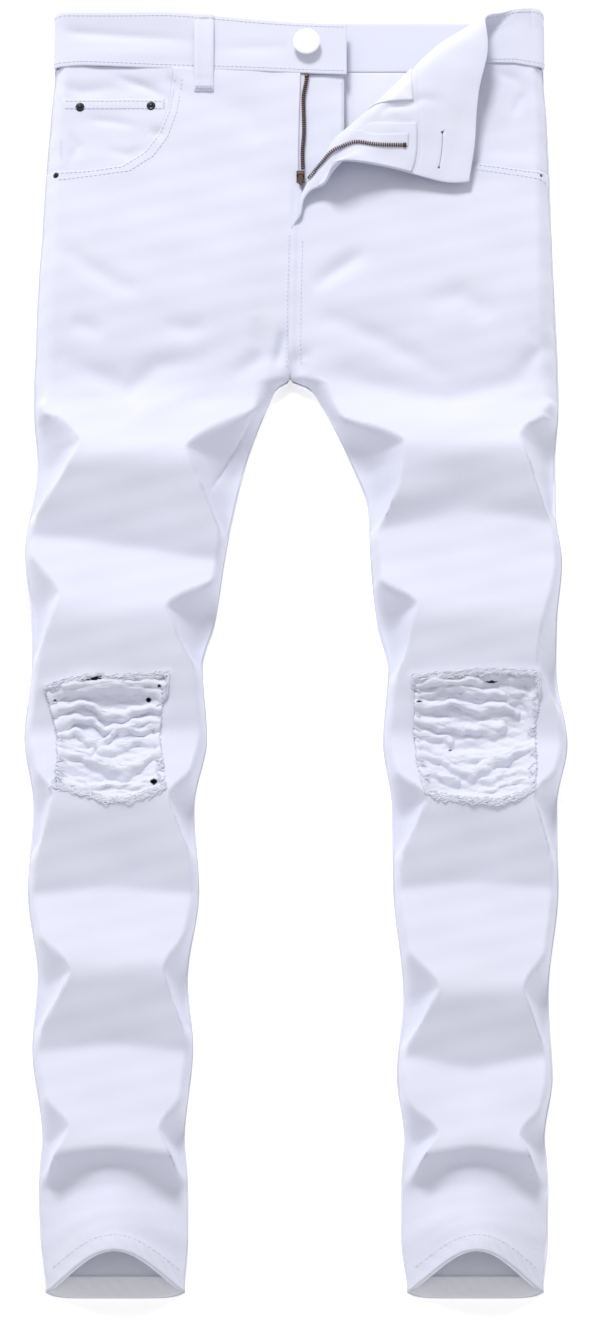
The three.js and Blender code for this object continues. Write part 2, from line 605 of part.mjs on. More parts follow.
// ---------------------------------------------------------------- pockets

const TAPE_LAYER = -(CLOTH / 2 + GAP + LIGHT_CLOTH / 2);
const FACING_LAYER = TAPE_LAYER - LIGHT_CLOTH / 2 - GAP - CLOTH / 2;

/** The pocket facing, which shows in the mouth and runs on under the front. */
function makeFacing(side) {
  const grid = fronts[side];
  const rows = rowRange(grid.rows, BACK_BAND_BOTTOM, FACING_REACH);
  const facing = part(grid, rows, [0, side === 'right' ? 7 : 5]);
  const rising = side === 'right' ? [0, -1.1, -2.2, FACING_LAYER] : [0, -1.1, FACING_LAYER];
  const sign = outward[side];
  const box = (near, far, low, high) => prism(
    [[sign * near, low], [sign * far, low], [sign * far, high], [sign * near, high]], -10, 90);
  const cuts = [box(181, 230, 340, SIDE_MOUTH_Y), box(0, FACING_INNER[side], 340, 480)];
  add(`pocket_facing_${side}`, subtract(wall(facing, CLOTH, rising), cuts), MATERIALS.denim);
}

const COIN_POCKET = { outer: -177, inner: -107, top: 446, bottom: 386 };

/** The coin pocket, between the facing and the front. */
function makeCoinPocket() {
  const grid = patchGrid('right', evenly(COIN_POCKET.outer, COIN_POCKET.inner, 3),
    evenly(COIN_POCKET.top, COIN_POCKET.bottom, 4));
  const layer = -(CLOTH / 2 + GAP + LIGHT_CLOTH / 2);
  add('coin_pocket', wall(grid, LIGHT_CLOTH, layer), MATERIALS.denim);
}

/** A domed rivet head that stands on the cloth at a place on a front. */
function makeRivet(name, side, x, y, radius, layer) {
  const profile = [[0, 0], [radius, 0], [radius, 0.5], [radius * 0.72, 1.0], [0, 1.25]]
    .map(([r, z]) => new THREE.Vector2(r, z));
  const geometry = new THREE.LatheGeometry(profile, 16).rotateX(Math.PI / 2);
  const place = clothPoint(side, x, y);
  const beside = clothPoint(side, x + 0.5, y);
  const above = clothPoint(side, x, y + 0.5);
  const normal = new THREE.Vector3().crossVectors(beside.sub(place), above.sub(place)).normalize();
  const mesh = add(name, geometry, MATERIALS.brass);
  mesh.quaternion.setFromUnitVectors(new THREE.Vector3(0, 0, 1), normal);
  mesh.position.copy(place).addScaledVector(normal, layer + GAP);
}

// ---------------------------------------------------------------- waistband

const BUTTONHOLE = { x: 4.4, y: 487, length: 20, width: 1.4 };
const BAG = { edge: 48.5, foot: 350, layer: -2.6 };
const BAND_ROWS = 5;
const BAND_TURN_STEPS = 6;

/** Middle of the waistband where it turns from the front to the back at a side. */
function bandTurn(side) {
  const sign = outward[side];
  const outer = FORM[side].outer(473);
  const reach = FORM[side].outerRamp(473);
  const top = FORM[side].top(473);
  const bottom = BAND_CLOTH / 2;
  return evenly(90, -90, BAND_TURN_STEPS).map((degrees) => {
    const angle = THREE.MathUtils.degToRad(degrees);
    return {
      x: outer - sign * reach * (1 - Math.cos(angle)),
      z: mix(bottom, top, (1 + Math.sin(angle)) / 2),
      onBack: (1 - Math.sin(angle)) / 2,
    };
  });
}

/** Top of the waistband on the front: it dips towards the open fly. */
const bandTop = (side, x) => (side === 'right' ? 514 - 9 * smooth(-110, 30, x) : 513.5);

/** The waistband: one strip from the button's end round the back to the folded corner. */
function makeWaistband() {
  const rows = evenly(0, 1, BAND_ROWS).map((share) => {
    const row = [];
    for (const x of [36, 22, 6, -14, -38, -65, -95, -125, -152, -170]) {
      const y = mix(bandBottom('right', x), bandTop('right', x), share);
      row.push(new THREE.Vector3(x, y, frontHeight('right', x, BACK_BAND_BOTTOM)));
    }
    for (const side of SIDES) {
      const turn = side === 'right' ? bandTurn(side) : bandTurn(side).reverse();
      for (const { x, z, onBack } of turn) {
        const low = mix(bandBottom(side, x), BACK_BAND_BOTTOM, onBack);
        const high = mix(bandTop(side, x), BACK_BAND_BOTTOM + WAIST_BAND_HEIGHT, onBack);
        row.push(new THREE.Vector3(x, mix(low, high, share), z));
      }
      if (side === 'right') {
        for (const x of [-110, -40, 40, 110]) {
          const y = BACK_BAND_BOTTOM + WAIST_BAND_HEIGHT * share;
          row.push(new THREE.Vector3(x, y, BAND_CLOTH / 2));
        }
      }
    }
    const y = mix(LEFT_BAND_BOTTOM, bandTop('left', 0), share);
    const start = FORM.left.outer(473) - FORM.left.outerRamp(473);
    const turn = evenly(0, 1, 6).map((part) => foldCrossing(y, part));
    const places = [mix(start, turn[0], 0.5), ...turn,
      ...evenly(turn.at(-1), FLY_EDGE, 4).slice(1)];
    for (const x of places) row.push(clothPoint('left', x, y));
    return row;
  });
  const { x, y, length, width } = BUTTONHOLE;
  const slit = [[x - length / 2, y - width / 2], [x + length / 2, y - width / 2],
    [x + length / 2, y + width / 2], [x - length / 2, y + width / 2]].map(([px, py]) => {
    const place = clothPoint('left', px, py);
    return [place.x, place.y];
  });
  const band = subtract(wall(gridWithNormals(rows), BAND_CLOTH), [prism(slit, UNDER_FLAP, 90)]);
  add('waistband', band, MATERIALS.denim);
}

/** The left pocket's bag inside the front: its edge shows where the fold turns over. */
function makePocketBag() {
  const heights = [...evenly(469.5, 402, 12), 385, BAG.foot];
  const points = heights.map((y) => rowsAround('left', y).across.slice(3, 10)
    .map((x, j) => onFront('left', Math.max(Math.min(x, 168), BAG.edge + (6 - j) * 0.9), y)));
  const bag = wall(gridWithNormals(points), LIGHT_CLOTH, BAG.layer);
  const behindMouth = prism([[111, 371], [200, 371], [200, 480], [111, 480]], -10, UNDER_FLAP);
  add('pocket_bag_left', subtract(bag, [behindMouth]), MATERIALS.bag);
}

/** The front belt loop, sewn over the waistband's seam and top. */
function makeBeltLoop() {
  const path = [[451, CLOTH / 2], [458, CLOTH / 2], [464, BAND_CLOTH / 2 + 0.3],
    [476, BAND_CLOTH / 2 + 1.2], [490, BAND_CLOTH / 2 + 1.6], [503, BAND_CLOTH / 2 + 1.0],
    [510.5, BAND_CLOTH / 2]];
  const points = path.map(([y, under]) => [-81.5, -74, -66.5].map((x) => new THREE.Vector3(
    x, y, frontHeight('right', x, Math.min(y, BACK_BAND_BOTTOM)) + under + 0.4 + CLOTH / 2)));
  add('belt_loop', wall(faceUp(gridWithNormals(points)), CLOTH), MATERIALS.denim);
}

// ---------------------------------------------------------------- fly, zip and button

const CHAIN_THICKNESS = 1.6;
const ZIP_FOOT = 380;
const ZIP_TOP = 463;
const rightChain = curveThrough([[ZIP_FOOT, 2.4], [398, 1.9], [418, 3.1], [443, 2.6], [ZIP_TOP, 5.2]]);
const leftChain = curveThrough([[ZIP_FOOT, 2], [420, 5], [466, 10]]);
const CHAIN_HALF = 1.3;
const TAPE_CLOTH = 0.8;
const FACING_FOOT = 384;         // the fly facing ends here, just above the slider
const SLIDER = {
  x: 0.4, y: 379.5, width: 6.2, length: 9, body: 2.4, lug: 1.0, pinRadius: 0.55, pinRise: 1.5,
};
const TAB = { eyeRadius: 1.25, boreRadius: 0.85, side: 0.3, length: 9, thickness: 1.0 };

/** The fly shield, behind the zip, and the facing that backs the zip on the flap. */
function makeFlyPieces() {
  const shieldWidth = curveThrough([[348, 12], [372, 30], [400, 34], [470, 34]]);
  const places = evenly(0, 1, 3).map((t) => (y) => mix(-14, shieldWidth(y), t));
  const shield = patchGrid('right', places, evenly(462, 350, 7));
  const layer = -(CLOTH / 2 + GAP + LIGHT_CLOTH + GAP + CLOTH / 2);
  add('fly_shield', wall(shield, CLOTH, layer), MATERIALS.denim);
  const grid = fronts.left;
  const facing = part(grid, rowRange(grid.rows, BACK_BAND_BOTTOM, FACING_FOOT), [-3, undefined]);
  add('fly_facing', wall(facing, LIGHT_CLOTH, TAPE_LAYER), MATERIALS.inside);
}

/** A zip's tapes and, standing on their edges, its rows of teeth, on each side of the fly. */
function makeZip() {
  const heights = evenly(ZIP_TOP, ZIP_FOOT + 6, 7);
  const onTape = TAPE_CLOTH / 2 + GAP + CHAIN_THICKNESS / 2;
  const rightPlaces = [() => -9, () => -4, (y) => rightChain(y) + CHAIN_HALF];
  const rightTape = patchGrid('right', rightPlaces, [...heights, ZIP_FOOT - 3, ZIP_FOOT - 12]);
  add('zip_tape_right', wall(rightTape, TAPE_CLOTH, TAPE_LAYER), MATERIALS.bag);
  const teethPlaces = (chain) => [(y) => chain(y) - CHAIN_HALF, (y) => chain(y) + CHAIN_HALF];
  const rightTeeth = patchGrid('right', teethPlaces(rightChain), heights);
  add('zip_teeth_right', wall(rightTeeth, CHAIN_THICKNESS, TAPE_LAYER + onTape), MATERIALS.brass);
  const leftHeights = evenly(ZIP_TOP, ZIP_FOOT + 12, 9);
  const onFacing = TAPE_LAYER - LIGHT_CLOTH / 2 - TAPE_CLOTH / 2 - 4 * GAP;
  const leftPlaces = [0, 3, 11].map((reach) => (y) => leftChain(y) - CHAIN_HALF + reach);
  const leftTape = patchGrid('left', leftPlaces, leftHeights);
  add('zip_tape_left', wall(leftTape, TAPE_CLOTH, onFacing), MATERIALS.bag);
  const leftTeeth = patchGrid('left', teethPlaces(leftChain), leftHeights);
  add('zip_teeth_left', wall(leftTeeth, CHAIN_THICKNESS, onFacing - onTape - 3 * GAP), MATERIALS.brass);
}

/** The zip's slider, with two lugs and the pin that its pull tab turns on, and the tab. */
function makeSlider() {
  const { x, y, width, length, body, lug, pinRadius, pinRise } = SLIDER;
  const base = frontHeight('right', -6, y) + TAPE_LAYER + 0.4 + GAP;
  const plate = new THREE.BoxGeometry(width, length, body).translate(x, y, base + body / 2);
  const pinY = y + 1.6;
  const pinZ = base + body + pinRise;
  const lugs = [-1, 1].map((side) => new THREE.BoxGeometry(lug, 2.2, pinRise + 1.0)
    .translate(x + side * (width / 2 - lug / 2), pinY, base + body + (pinRise + 1.0) / 2 - 0.1));
  const pin = new THREE.CylinderGeometry(pinRadius, pinRadius, width - lug, 12)
    .rotateZ(Math.PI / 2).translate(x, pinY, pinZ);
  add('zip_slider', join([plate, ...lugs, pin]), MATERIALS.brass);
  const eyeWidth = width - 2 * lug - 2 * TAB.side;
  const eye = new THREE.CylinderGeometry(TAB.eyeRadius, TAB.eyeRadius, eyeWidth, 16)
    .rotateZ(Math.PI / 2).translate(x, pinY, pinZ);
  const bore = new THREE.CylinderGeometry(TAB.boreRadius, TAB.boreRadius, eyeWidth + 2, 16)
    .rotateZ(Math.PI / 2).translate(x, pinY, pinZ);
  const half = eyeWidth / 2;
  const tip = pinY - TAB.length;
  const plateOutline = [[x - half, pinY - 0.9], [x - half * 0.8, tip + 1], [x - half * 0.4, tip],
    [x + half * 0.4, tip], [x + half * 0.8, tip + 1], [x + half, pinY - 0.9]];
  const blade = prism(plateOutline, pinZ - TAB.thickness / 2, pinZ + TAB.thickness / 2);
  add('pull_tab', subtract(join([eye, blade]), [bore]), MATERIALS.brass);
}

/** The button, on its shank at the waistband's end. */
function makeButton() {
  const r = BUTTON_RADIUS;
  const shank = 4.2;
  const profile = [[0, 0], [5.5, 0], [5.5, 1.0], [3.6, 1.6], [3.6, shank], [r - 1.2, shank],
    [r, shank + 0.9], [r, shank + 1.6], [r - 0.9, shank + 2.5], [r * 0.6, shank + 3.1],
    [0, shank + 3.4]].map(([x, y]) => new THREE.Vector2(x, y));
  const geometry = new THREE.LatheGeometry(profile, 32).rotateX(Math.PI / 2);
  const mesh = add('button', geometry, MATERIALS.button);
  mesh.position.set(5, 488, frontHeight('right', 5, BACK_BAND_BOTTOM) + BAND_CLOTH / 2 + GAP);
}

// ---------------------------------------------------------------- the garment

for (const side of SIDES) {
  makeFront(side);
  makeBack(side);
  makeWeft(side);
  makeHemTurn(side);
}
SIDES.forEach(makeFacing);
makePocketBag();
makeCoinPocket();
makeRivet('coin_rivet_outer', 'right', -169, 437, RIVET_RADIUS, TAPE_LAYER + LIGHT_CLOTH / 2);
makeRivet('coin_rivet_inner', 'right', -114.5, 438, RIVET_RADIUS, TAPE_LAYER + LIGHT_CLOTH / 2);
makeRivet('side_rivet_right', 'right', -186.5, 381, SIDE_RIVET_RADIUS, CLOTH / 2);
makeRivet('side_rivet_left', 'left', 183.5, 381, SIDE_RIVET_RADIUS, CLOTH / 2);
makeWaistband();
makeBeltLoop();
makeFlyPieces();
makeZip();
makeSlider();
makeButton();

export default jeans;
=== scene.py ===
"""White ripped skinny jeans, laid flat with the front up, the fly open and one front folded out.

Lengths in this file are millimetres in the pattern's own frame until a mesh is placed:
+X is the wearer's left, +Y runs from the hems to the waist and +Z is up. The cloth is a
set of thin shells on one height form, low at the side seams and lifted by the ridges of
the pushed-up legs. The left front goes through one fold, which rolls its corner over.
"""

from __future__ import annotations

import logging
import math
import random
from dataclasses import dataclass, field
from enum import Enum
from typing import Callable, Sequence

import bmesh
import bpy
import numpy as np
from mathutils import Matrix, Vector


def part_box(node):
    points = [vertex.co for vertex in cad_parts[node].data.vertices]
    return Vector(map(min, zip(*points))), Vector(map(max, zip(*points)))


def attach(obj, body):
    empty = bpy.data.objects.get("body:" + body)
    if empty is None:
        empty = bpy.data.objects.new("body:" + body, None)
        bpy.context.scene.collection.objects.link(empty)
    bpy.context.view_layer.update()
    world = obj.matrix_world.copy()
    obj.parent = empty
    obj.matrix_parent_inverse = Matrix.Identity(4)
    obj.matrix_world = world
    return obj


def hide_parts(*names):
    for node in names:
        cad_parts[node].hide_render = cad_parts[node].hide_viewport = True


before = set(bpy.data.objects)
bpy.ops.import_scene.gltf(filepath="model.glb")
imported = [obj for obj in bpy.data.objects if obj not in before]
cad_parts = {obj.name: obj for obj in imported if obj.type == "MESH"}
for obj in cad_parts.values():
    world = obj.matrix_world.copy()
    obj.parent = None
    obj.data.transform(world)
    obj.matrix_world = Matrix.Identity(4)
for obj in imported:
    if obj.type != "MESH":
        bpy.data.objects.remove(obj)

LOG = logging.getLogger("jeans")

MM = 0.001
# From the pattern's own frame to the shared one.
ORIGIN_SHIFT = np.array([3.7, -15.75, 0.0])
# Thicknesses of the layers as the solids have them, and the gap between two layers.
CLOTH = 1.5
BAND_CLOTH = 2.4
LIGHT_CLOTH = 1.0
GAP = 0.35
# The band: its lower edge on the back and on the left front, its height, its upper edge on
# the left front, where its turns at the sides are measured, and the push up at its left.
BACK_BAND_BOTTOM = 470.0
LEFT_BAND_BOTTOM = 473.0
BAND_HEIGHT = 40.0
LEFT_BAND_TOP = 513.5
WAIST_Y = 473.0
HUMP = np.array([0.0, 4.0, 1.5])
CROTCH_Y = 220.0
# The fold: its ends at the fly's foot and at the waist, and the flap's free edge.
FLY_FOOT = (-5.3, 341.0)
FOLD_TOP = (151.6, 512.0)
FLY_EDGE = -13.0
# The hems: edges of the fronts and backs, depth of the turn-up, and how far the raised
# middle of a front's hem is drawn back.
HEM_Y = -478.0
BACK_HEM_Y = -482.5
HEM_TURN = 16.0
HEM_ARCH_PULL = 24.0
# Height of the middle of a front's cloth where it lies on its back, and how far the front's
# outer edge is set in from the back's.
SEAM_HEIGHT = CLOTH + GAP + CLOTH / 2
OUTSEAM_INSET = 1.3
# How a stitch dips into the cloth at its ends and stands over it between them.
STITCH_DIP = np.array([-0.35, 0.12, 0.12, -0.35])
SHIELD_LAYER = -3.4
COIN_LAYER = -1.55

Array = np.ndarray
Place = Callable[[Array, Array], Array]


class Side(Enum):
    """A side of the garment, as worn, and the way along X that leads out to it."""

    RIGHT = -1
    LEFT = 1

    @property
    def label(self) -> str:
        """The side's name in lower case, as the nodes use it."""
        return self.name.lower()


# Down each side: height, outseam, inseam, height of the cloth, how much further down a
# crease runs at the seams than at its centre, and how far it leans towards the inseam.
STATIONS = {
    Side.RIGHT: (
        (473, -189.0, -7.0, 14, 0, 0), (430, -192.2, -7.0, 15, 0, 0),
        (380, -195.6, -7.0, 16, 0, 0), (330, -198.1, -7.0, 20, 0, 0),
        (283, -200.7, -7.2, 22, 0, 0), (240, -201.6, -7.6, 20, 0, 0),
        (220, -202.4, -8.0, 18, 0, 0), (213, -202.6, -18.0, 18, 0, 0),
        (200, -202.6, -24.0, 20.5, 0, 0), (150, -199.2, -41.5, 44, 0, 0),
        (84, -207.8, -55.6, 21, 2, 11), (28, -202.4, -64.0, 40, 0, 3),
        (-6, -201.7, -72.9, 32, 0, 0), (-60, -206.6, -69.4, 18, 0, 0),
        (-114, -199.2, -78.8, 36, 0, 0), (-178, -202.6, -74.8, 16, 6, 0),
        (-244, -194.6, -83.0, 36, 0, 0), (-296, -197.9, -78.8, 15, 6, 0),
        (-366, -189.7, -84.8, 33, 4, 0), (-376, -190.6, -83.8, 34.5, 4, 0),
        (-385, -191.3, -83.0, 21, 9, 0), (-401, -191.9, -82.0, 20, 17, 0),
        (-418, -191.4, -81.8, 27, 17, 0), (-440, -190.2, -81.8, 34, 0, 0), (-478, -186.2, -84.0, 42, 0, 0),
    ),
    Side.LEFT: (
        (473, 187.6, -6.7, 14, 0, 0), (430, 190.0, -6.7, 15, 0, 0),
        (380, 191.8, -6.7, 16, 0, 0), (330, 192.9, -6.7, 20, 0, 0),
        (283, 194.6, -6.9, 22, 0, 0), (240, 196.2, -7.3, 20, 0, 0),
        (220, 196.6, -7.0, 18, 0, 0), (213, 196.7, 7.5, 18, 0, 0),
        (200, 196.6, 16.4, 20.5, 0, 0), (154, 193.6, 38.4, 44, 0, 0),
        (116, 193.6, 51.4, 23, 22, 6), (78, 197.8, 53.0, 28, 6, 4),
        (28, 193.4, 57.8, 40, 0, 0), (-8, 192.6, 65.8, 32, 0, 0),
        (-64, 200.4, 62.0, 18, 0, 0), (-113, 192.0, 68.4, 36, 0, 0),
        (-174, 192.4, 69.0, 17, 6, 0), (-258, 184.0, 76.3, 36, 0, 0),
        (-317, 186.5, 71.2, 15, -13, 0), (-366, 180.0, 76.6, 33, 8, 0),
        (-375, 181.0, 75.6, 34.5, 7, 0), (-384, 181.7, 74.9, 21, 10, 0),
        (-400, 182.4, 74.2, 20, 15, 0), (-417, 182.0, 74.1, 27, 15, 0), (-440, 181.6, 74.0, 34, 0, 0),
        (-478, 178.1, 78.1, 42, 0, 0),
    ),
}

# The pinched ends of the ridges at each seam: height of the corner, how far in from the
# seam it lies, how far above it the facet starts and the height of the facet's foot.
FACETS = {
    (Side.RIGHT, "outer"): (
        (160, 33, 35, 109), (42, 22, 31, 0), (-112, 15, 20, -150), (-246, 25, 26, -284),
        (-362, 20, 22, -392)),
    (Side.RIGHT, "inner"): (
        (157, 46, 33, 97), (33, 37, 21, -9), (-112, 18, 20, -150), (-243, 17, 26, -284),
        (-362, 18, 22, -392)),
    (Side.LEFT, "outer"): (
        (166, 28, 30, 107), (-6, 15, 64, -40), (-112, 18, 20, -150), (-258, 19, 26, -296),
        (-368, 19, 22, -396)),
    (Side.LEFT, "inner"): (
        (161, 43, 21, 98), (34, 30, 18, -16), (-115, 25, 20, -152), (-258, 25, 26, -296),
        (-366, 24, 22, -396)),
}
# Width of the slope beside a seam away from the facets.
FACET_FLOOR = 6.5
# How a slope beside a seam rises: bulging, or hollow at the pinched end of a ridge.
FULLNESS = 2.2
HOLLOWNESS = 2.2
# How far a crest or a valley is rounded, down the legs.
ROUNDING = (
    (240, 10), (205, 5), (150, 13), (84, 4.5), (28, 12), (-20, 9), (-60, 8), (-114, 12), (-178, 4),
    (-244, 12), (-300, 4.5), (-340, 8), (-368, 4), (-376, 2), (-396, 5), (-440, 12))

# Width of the slope beside the outer and the inner edge, over the hips.
HIP_OUTER_RAMP = ((473, 9), (380, 11), (283, 14), (220, 15), (200, 12), (185, 9))
HIP_INNER_RAMP = ((473, 24), (240, 22), (215, 16), (200, 11))
# How far a front's inner edge is set in from its back's.
INSEAM_INSET = {Side.RIGHT: ((205, 0), (190, 1), (-480, 1.2)), Side.LEFT: ((205, 0), (175, 1), (-480, 1.5))}
# Where the centre seam and the right front's fly edge run, by height.
CENTRE_SEAM = ((220, -7.6), (283, -7.0), (337, -5.9), (470, -5.9))
RIGHT_EDGE = ((337, -6.1), (342, -3.4), (350, 0.6), (366, 1.8), (380, -1.0), (394, -1.2), (430, -0.6),
              (470, 0.4))
# How far the fold's axis lies from a straight line, and its radius, by the way along it.
FOLD_AXIS = ((0, -2), (20, 6), (75, 12), (120, 6), (165, 5.5), (214, -4), (240, -13))
FOLD_RADIUS = ((0, 2), (30, 4.5), (75, 8), (120, 10), (240, 11))

RIP_OUTLINE = {
    Side.RIGHT: (
        (-190, -28), (-172, -23), (-158, -20), (-128, -20), (-106, -19), (-98, -18), (-103, -40),
        (-105, -66), (-102, -88), (-100, -106), (-112, -111), (-126, -116), (-143, -116),
        (-162, -110), (-183, -105), (-180, -84), (-181, -62), (-186, -44)),
    Side.LEFT: (
        (84, -21), (118, -18), (150, -16), (177, -18), (179, -34), (175, -60),
        (176, -84), (174, -106), (163, -113), (146, -117), (124, -116), (106, -114),
        (94, -110), (88, -88), (85, -60), (86, -38)),
}


@dataclass(frozen=True)
class Rope:
    """A bunch of weft threads that hangs across a rip, along a line in the pattern."""

    line: tuple[tuple[float, float], ...]
    half: float
    rise: float


ROPES = {
    Side.RIGHT: (
        Rope(((-176, -28), (-150, -25), (-130, -24), (-108, -25), (-98, -28)), 3.6, 3.0),
        Rope(((-190, -36), (-172, -31), (-155, -28), (-134, -26), (-112, -31), (-96, -35)), 5.5, 3.4),
        Rope(((-188, -47), (-174, -40), (-161, -39), (-149, -46), (-130, -48), (-111, -42), (-96, -42)),
             4.0, 3.6),
        Rope(((-186, -60), (-180, -56), (-169, -49), (-157, -51), (-146, -59), (-127, -55), (-98, -50)),
             3.8, 3.6),
        Rope(((-186, -64), (-168, -60), (-150, -68), (-138, -60), (-111, -56), (-96, -55)), 3.4, 3.6),
        Rope(((-149, -75), (-133, -68), (-111, -66), (-97, -66)), 4.8, 3.4),
        Rope(((-188, -72), (-170, -71), (-156, -74)), 3.0, 2.8),
        Rope(((-188, -77), (-161, -79), (-133, -91), (-114, -82), (-98, -74)), 5.4, 4.2),
        Rope(((-186, -90), (-172, -94), (-160, -98)), 2.4, 2.0),
        Rope(((-186, -97), (-157, -103), (-130, -102), (-96, -97)), 3.6, 2.4),
    ),
    Side.LEFT: (
        Rope(((86, -28), (104, -24), (122, -23), (135, -25)), 3.4, 3.0),
        Rope(((76, -36), (84, -33), (106, -28), (126, -30), (152, -33)), 3.8, 3.4),
        Rope(((76, -42), (87, -41), (111, -39), (130, -43), (152, -42), (162, -45)), 3.8, 3.6),
        Rope(((76, -52), (92, -52), (106, -53), (122, -60), (135, -56), (150, -58)), 4.6, 3.8),
        Rope(((76, -60), (100, -62), (112, -66)), 3.0, 2.6),
        Rope(((78, -70), (92, -70), (112, -78), (135, -81), (148, -76), (170, -70), (188, -70)), 3.4, 2.6),
        Rope(((76, -75), (84, -76), (106, -83), (129, -94), (144, -82), (172, -73), (188, -72)), 4.2, 4.0),
        Rope(((84, -92), (102, -95), (116, -97)), 3.4, 3.0),
        Rope(((136, -98), (150, -93), (172, -90), (186, -88)), 2.6, 1.8),
        Rope(((134, -106), (152, -101), (170, -98), (184, -98)), 2.6, 1.8),
        Rope(((158, -30), (172, -36), (188, -44)), 9.0, 2.4),
    ),
}
# Small worn-through holes in the weft: middle, half width and half height.
RIP_HOLES = {
    Side.RIGHT: (
        ((-155, -21), 7.0, 1.7), ((-113, -36.5), 2.2, 2.0), ((-108.5, -100), 2.8, 2.2),
        ((-109, -60), 1.3, 1.0), ((-183, -37), 1.4, 1.1), ((-105, -26.5), 1.7, 1.2)),
    Side.LEFT: (((143, -23.5), 4.6, 1.0), ((89, -38), 2.0, 0.8), ((112, -71), 1.4, 0.8)),
}
# Where the weft sags deeper: middle, half width, half height and depth.
RIP_HOLLOWS = {
    Side.RIGHT: (
        ((-134, -36.5), 19, 4.6, 3.4), ((-160, -54), 8, 3.4, 3.0), ((-166, -73), 13, 2.6, 2.6),
        ((-112, -47), 12, 3.0, 2.2), ((-143, -96), 30, 5.4, 4.2), ((-168, -92), 12, 5.0, 2.4)),
    Side.LEFT: (
        ((146, -24), 9, 4.0, 3.6), ((166, -26), 16, 3.6, 3.2), ((166, -42), 11, 13, 2.6),
        ((99, -49), 15, 2.2, 2.6), ((128, -70), 18, 2.8, 3.6), ((120, -104), 20, 5.6, 4.6),
        ((90, -30), 12, 2.4, 2.4), ((158, -85), 14, 3.0, 2.6)),
}
POCKET_MOUTH = {
    Side.RIGHT: (
        (-98, 480), (-98.5, 455), (-102, 433), (-109, 416.5), (-120.5, 400.5),
        (-138, 388.5), (-165, 384.6), (-215, 384.6)),
    Side.LEFT: ((128, 480), (128, 391), (140, 390), (160, 387), (176, 384.6), (215, 384.6)),
}


# ------------------------------------------------------------------ curves


def smooth(low: float, high: float, value: Array) -> Array:
    """A smooth step from 0 at low to 1 at high."""
    t = np.clip((value - low) / (high - low), 0.0, 1.0)
    return t * t * (3.0 - 2.0 * t)


def bump(value: Array, centre: float, spread: float) -> Array:
    """A soft hump of height 1."""
    return np.exp(-(((value - centre) / spread) ** 2))


def mix(a: Array, b: Array, t: Array) -> Array:
    """The value a share t of the way from a to b."""
    return a + (b - a) * t


class Curve:
    """A monotone cubic through (position, value) pairs, constant past both ends."""

    def __init__(self, pairs: Sequence[Sequence[float]]) -> None:
        """Sorts the pairs and works out the slopes.

        Args:
            pairs: Positions and their values, in any order.
        """
        knots = np.array(sorted((float(p), float(v)) for p, v in pairs))
        self.at, self.value = knots[:, 0], knots[:, 1]
        steps = np.diff(self.value) / np.diff(self.at)
        self.slope = np.zeros(len(knots))
        rising = steps[:-1] * steps[1:] > 0
        inner = np.where(rising, 2.0 / (1.0 / np.where(rising, steps[:-1], 1.0)
                                        + 1.0 / np.where(rising, steps[1:], 1.0)), 0.0)
        self.slope[1:-1] = inner

    def __call__(self, position: Array) -> Array:
        """The curve's value at each position."""
        x = np.clip(position, self.at[0], self.at[-1])
        i = np.clip(np.searchsorted(self.at, x, side="right") - 1, 0, len(self.at) - 2)
        span = self.at[i + 1] - self.at[i]
        t = (x - self.at[i]) / span
        return (self.value[i] * (1 + 2 * t) * (1 - t) ** 2 + self.slope[i] * span * t * (1 - t) ** 2
                + self.value[i + 1] * t * t * (3 - 2 * t) + self.slope[i + 1] * span * t * t * (t - 1))


class Profile:
    """Straight slopes through (position, value) pairs, their corners rounded off."""

    steps = np.linspace(-1, 1, 9)
    weights = np.cos(steps * np.pi / 2 * 0.9) / np.cos(steps * np.pi / 2 * 0.9).sum()

    def __init__(self, pairs: Sequence[Sequence[float]],
                 rounding: Sequence[Sequence[float]]) -> None:
        """Sorts the pairs.

        Args:
            pairs: Positions and their values, in any order.
            rounding: Positions, and half the length over which a corner there is rounded.
        """
        knots = np.array(sorted((float(p), float(v)) for p, v in pairs))
        self.at, self.value = knots[:, 0], knots[:, 1]
        self.half = Curve(rounding)

    def __call__(self, position: Array) -> Array:
        """The profile's value at each position."""
        position = np.asarray(position, dtype=float)
        half = self.half(position)
        return sum(weight * np.interp(position + half * step, self.at, self.value)
                   for step, weight in zip(self.steps, self.weights))


def measured(line: Sequence[Sequence[float]]) -> tuple[Array, Array, Array]:
    """A flat line's points, the lengths between them, and how far along it each one lies."""
    nodes = np.array(line, dtype=float)
    lengths = np.hypot(*np.diff(nodes, axis=0).T)
    return nodes, lengths, np.concatenate([[0.0], np.cumsum(lengths)])


def reach_of(points: Array) -> Array:
    """How far along a line in space each of its points lies."""
    return np.concatenate([[0.0], np.cumsum(np.linalg.norm(np.diff(points, axis=0), axis=1))])


def along_line(x: Array, y: Array, line: Sequence[Sequence[float]]) -> tuple[Array, Array]:
    """How far each point lies from a broken line, and the share of the line's length there.

    Args:
        x: Places across.
        y: Places up.
        line: The line's points.

    Returns:
        Distances, and shares from 0 to 1.
    """
    nodes, lengths, starts = measured(line)
    best = np.full(np.shape(x), 1e9)
    share = np.zeros(np.shape(x))
    for (ax, ay), (bx, by), length, start in zip(nodes, nodes[1:], lengths, starts):
        t = np.clip(((x - ax) * (bx - ax) + (y - ay) * (by - ay)) / length ** 2, 0, 1)
        away = np.hypot(x - mix(ax, bx, t), y - mix(ay, by, t))
        closer = away < best
        best = np.where(closer, away, best)
        share = np.where(closer, (start + t * length) / starts[-1], share)
    return best, share


def value_at(curve: Callable[[Array], Array], position: float) -> float:
    """A curve's value at one position."""
    return float(curve(np.array(position)))


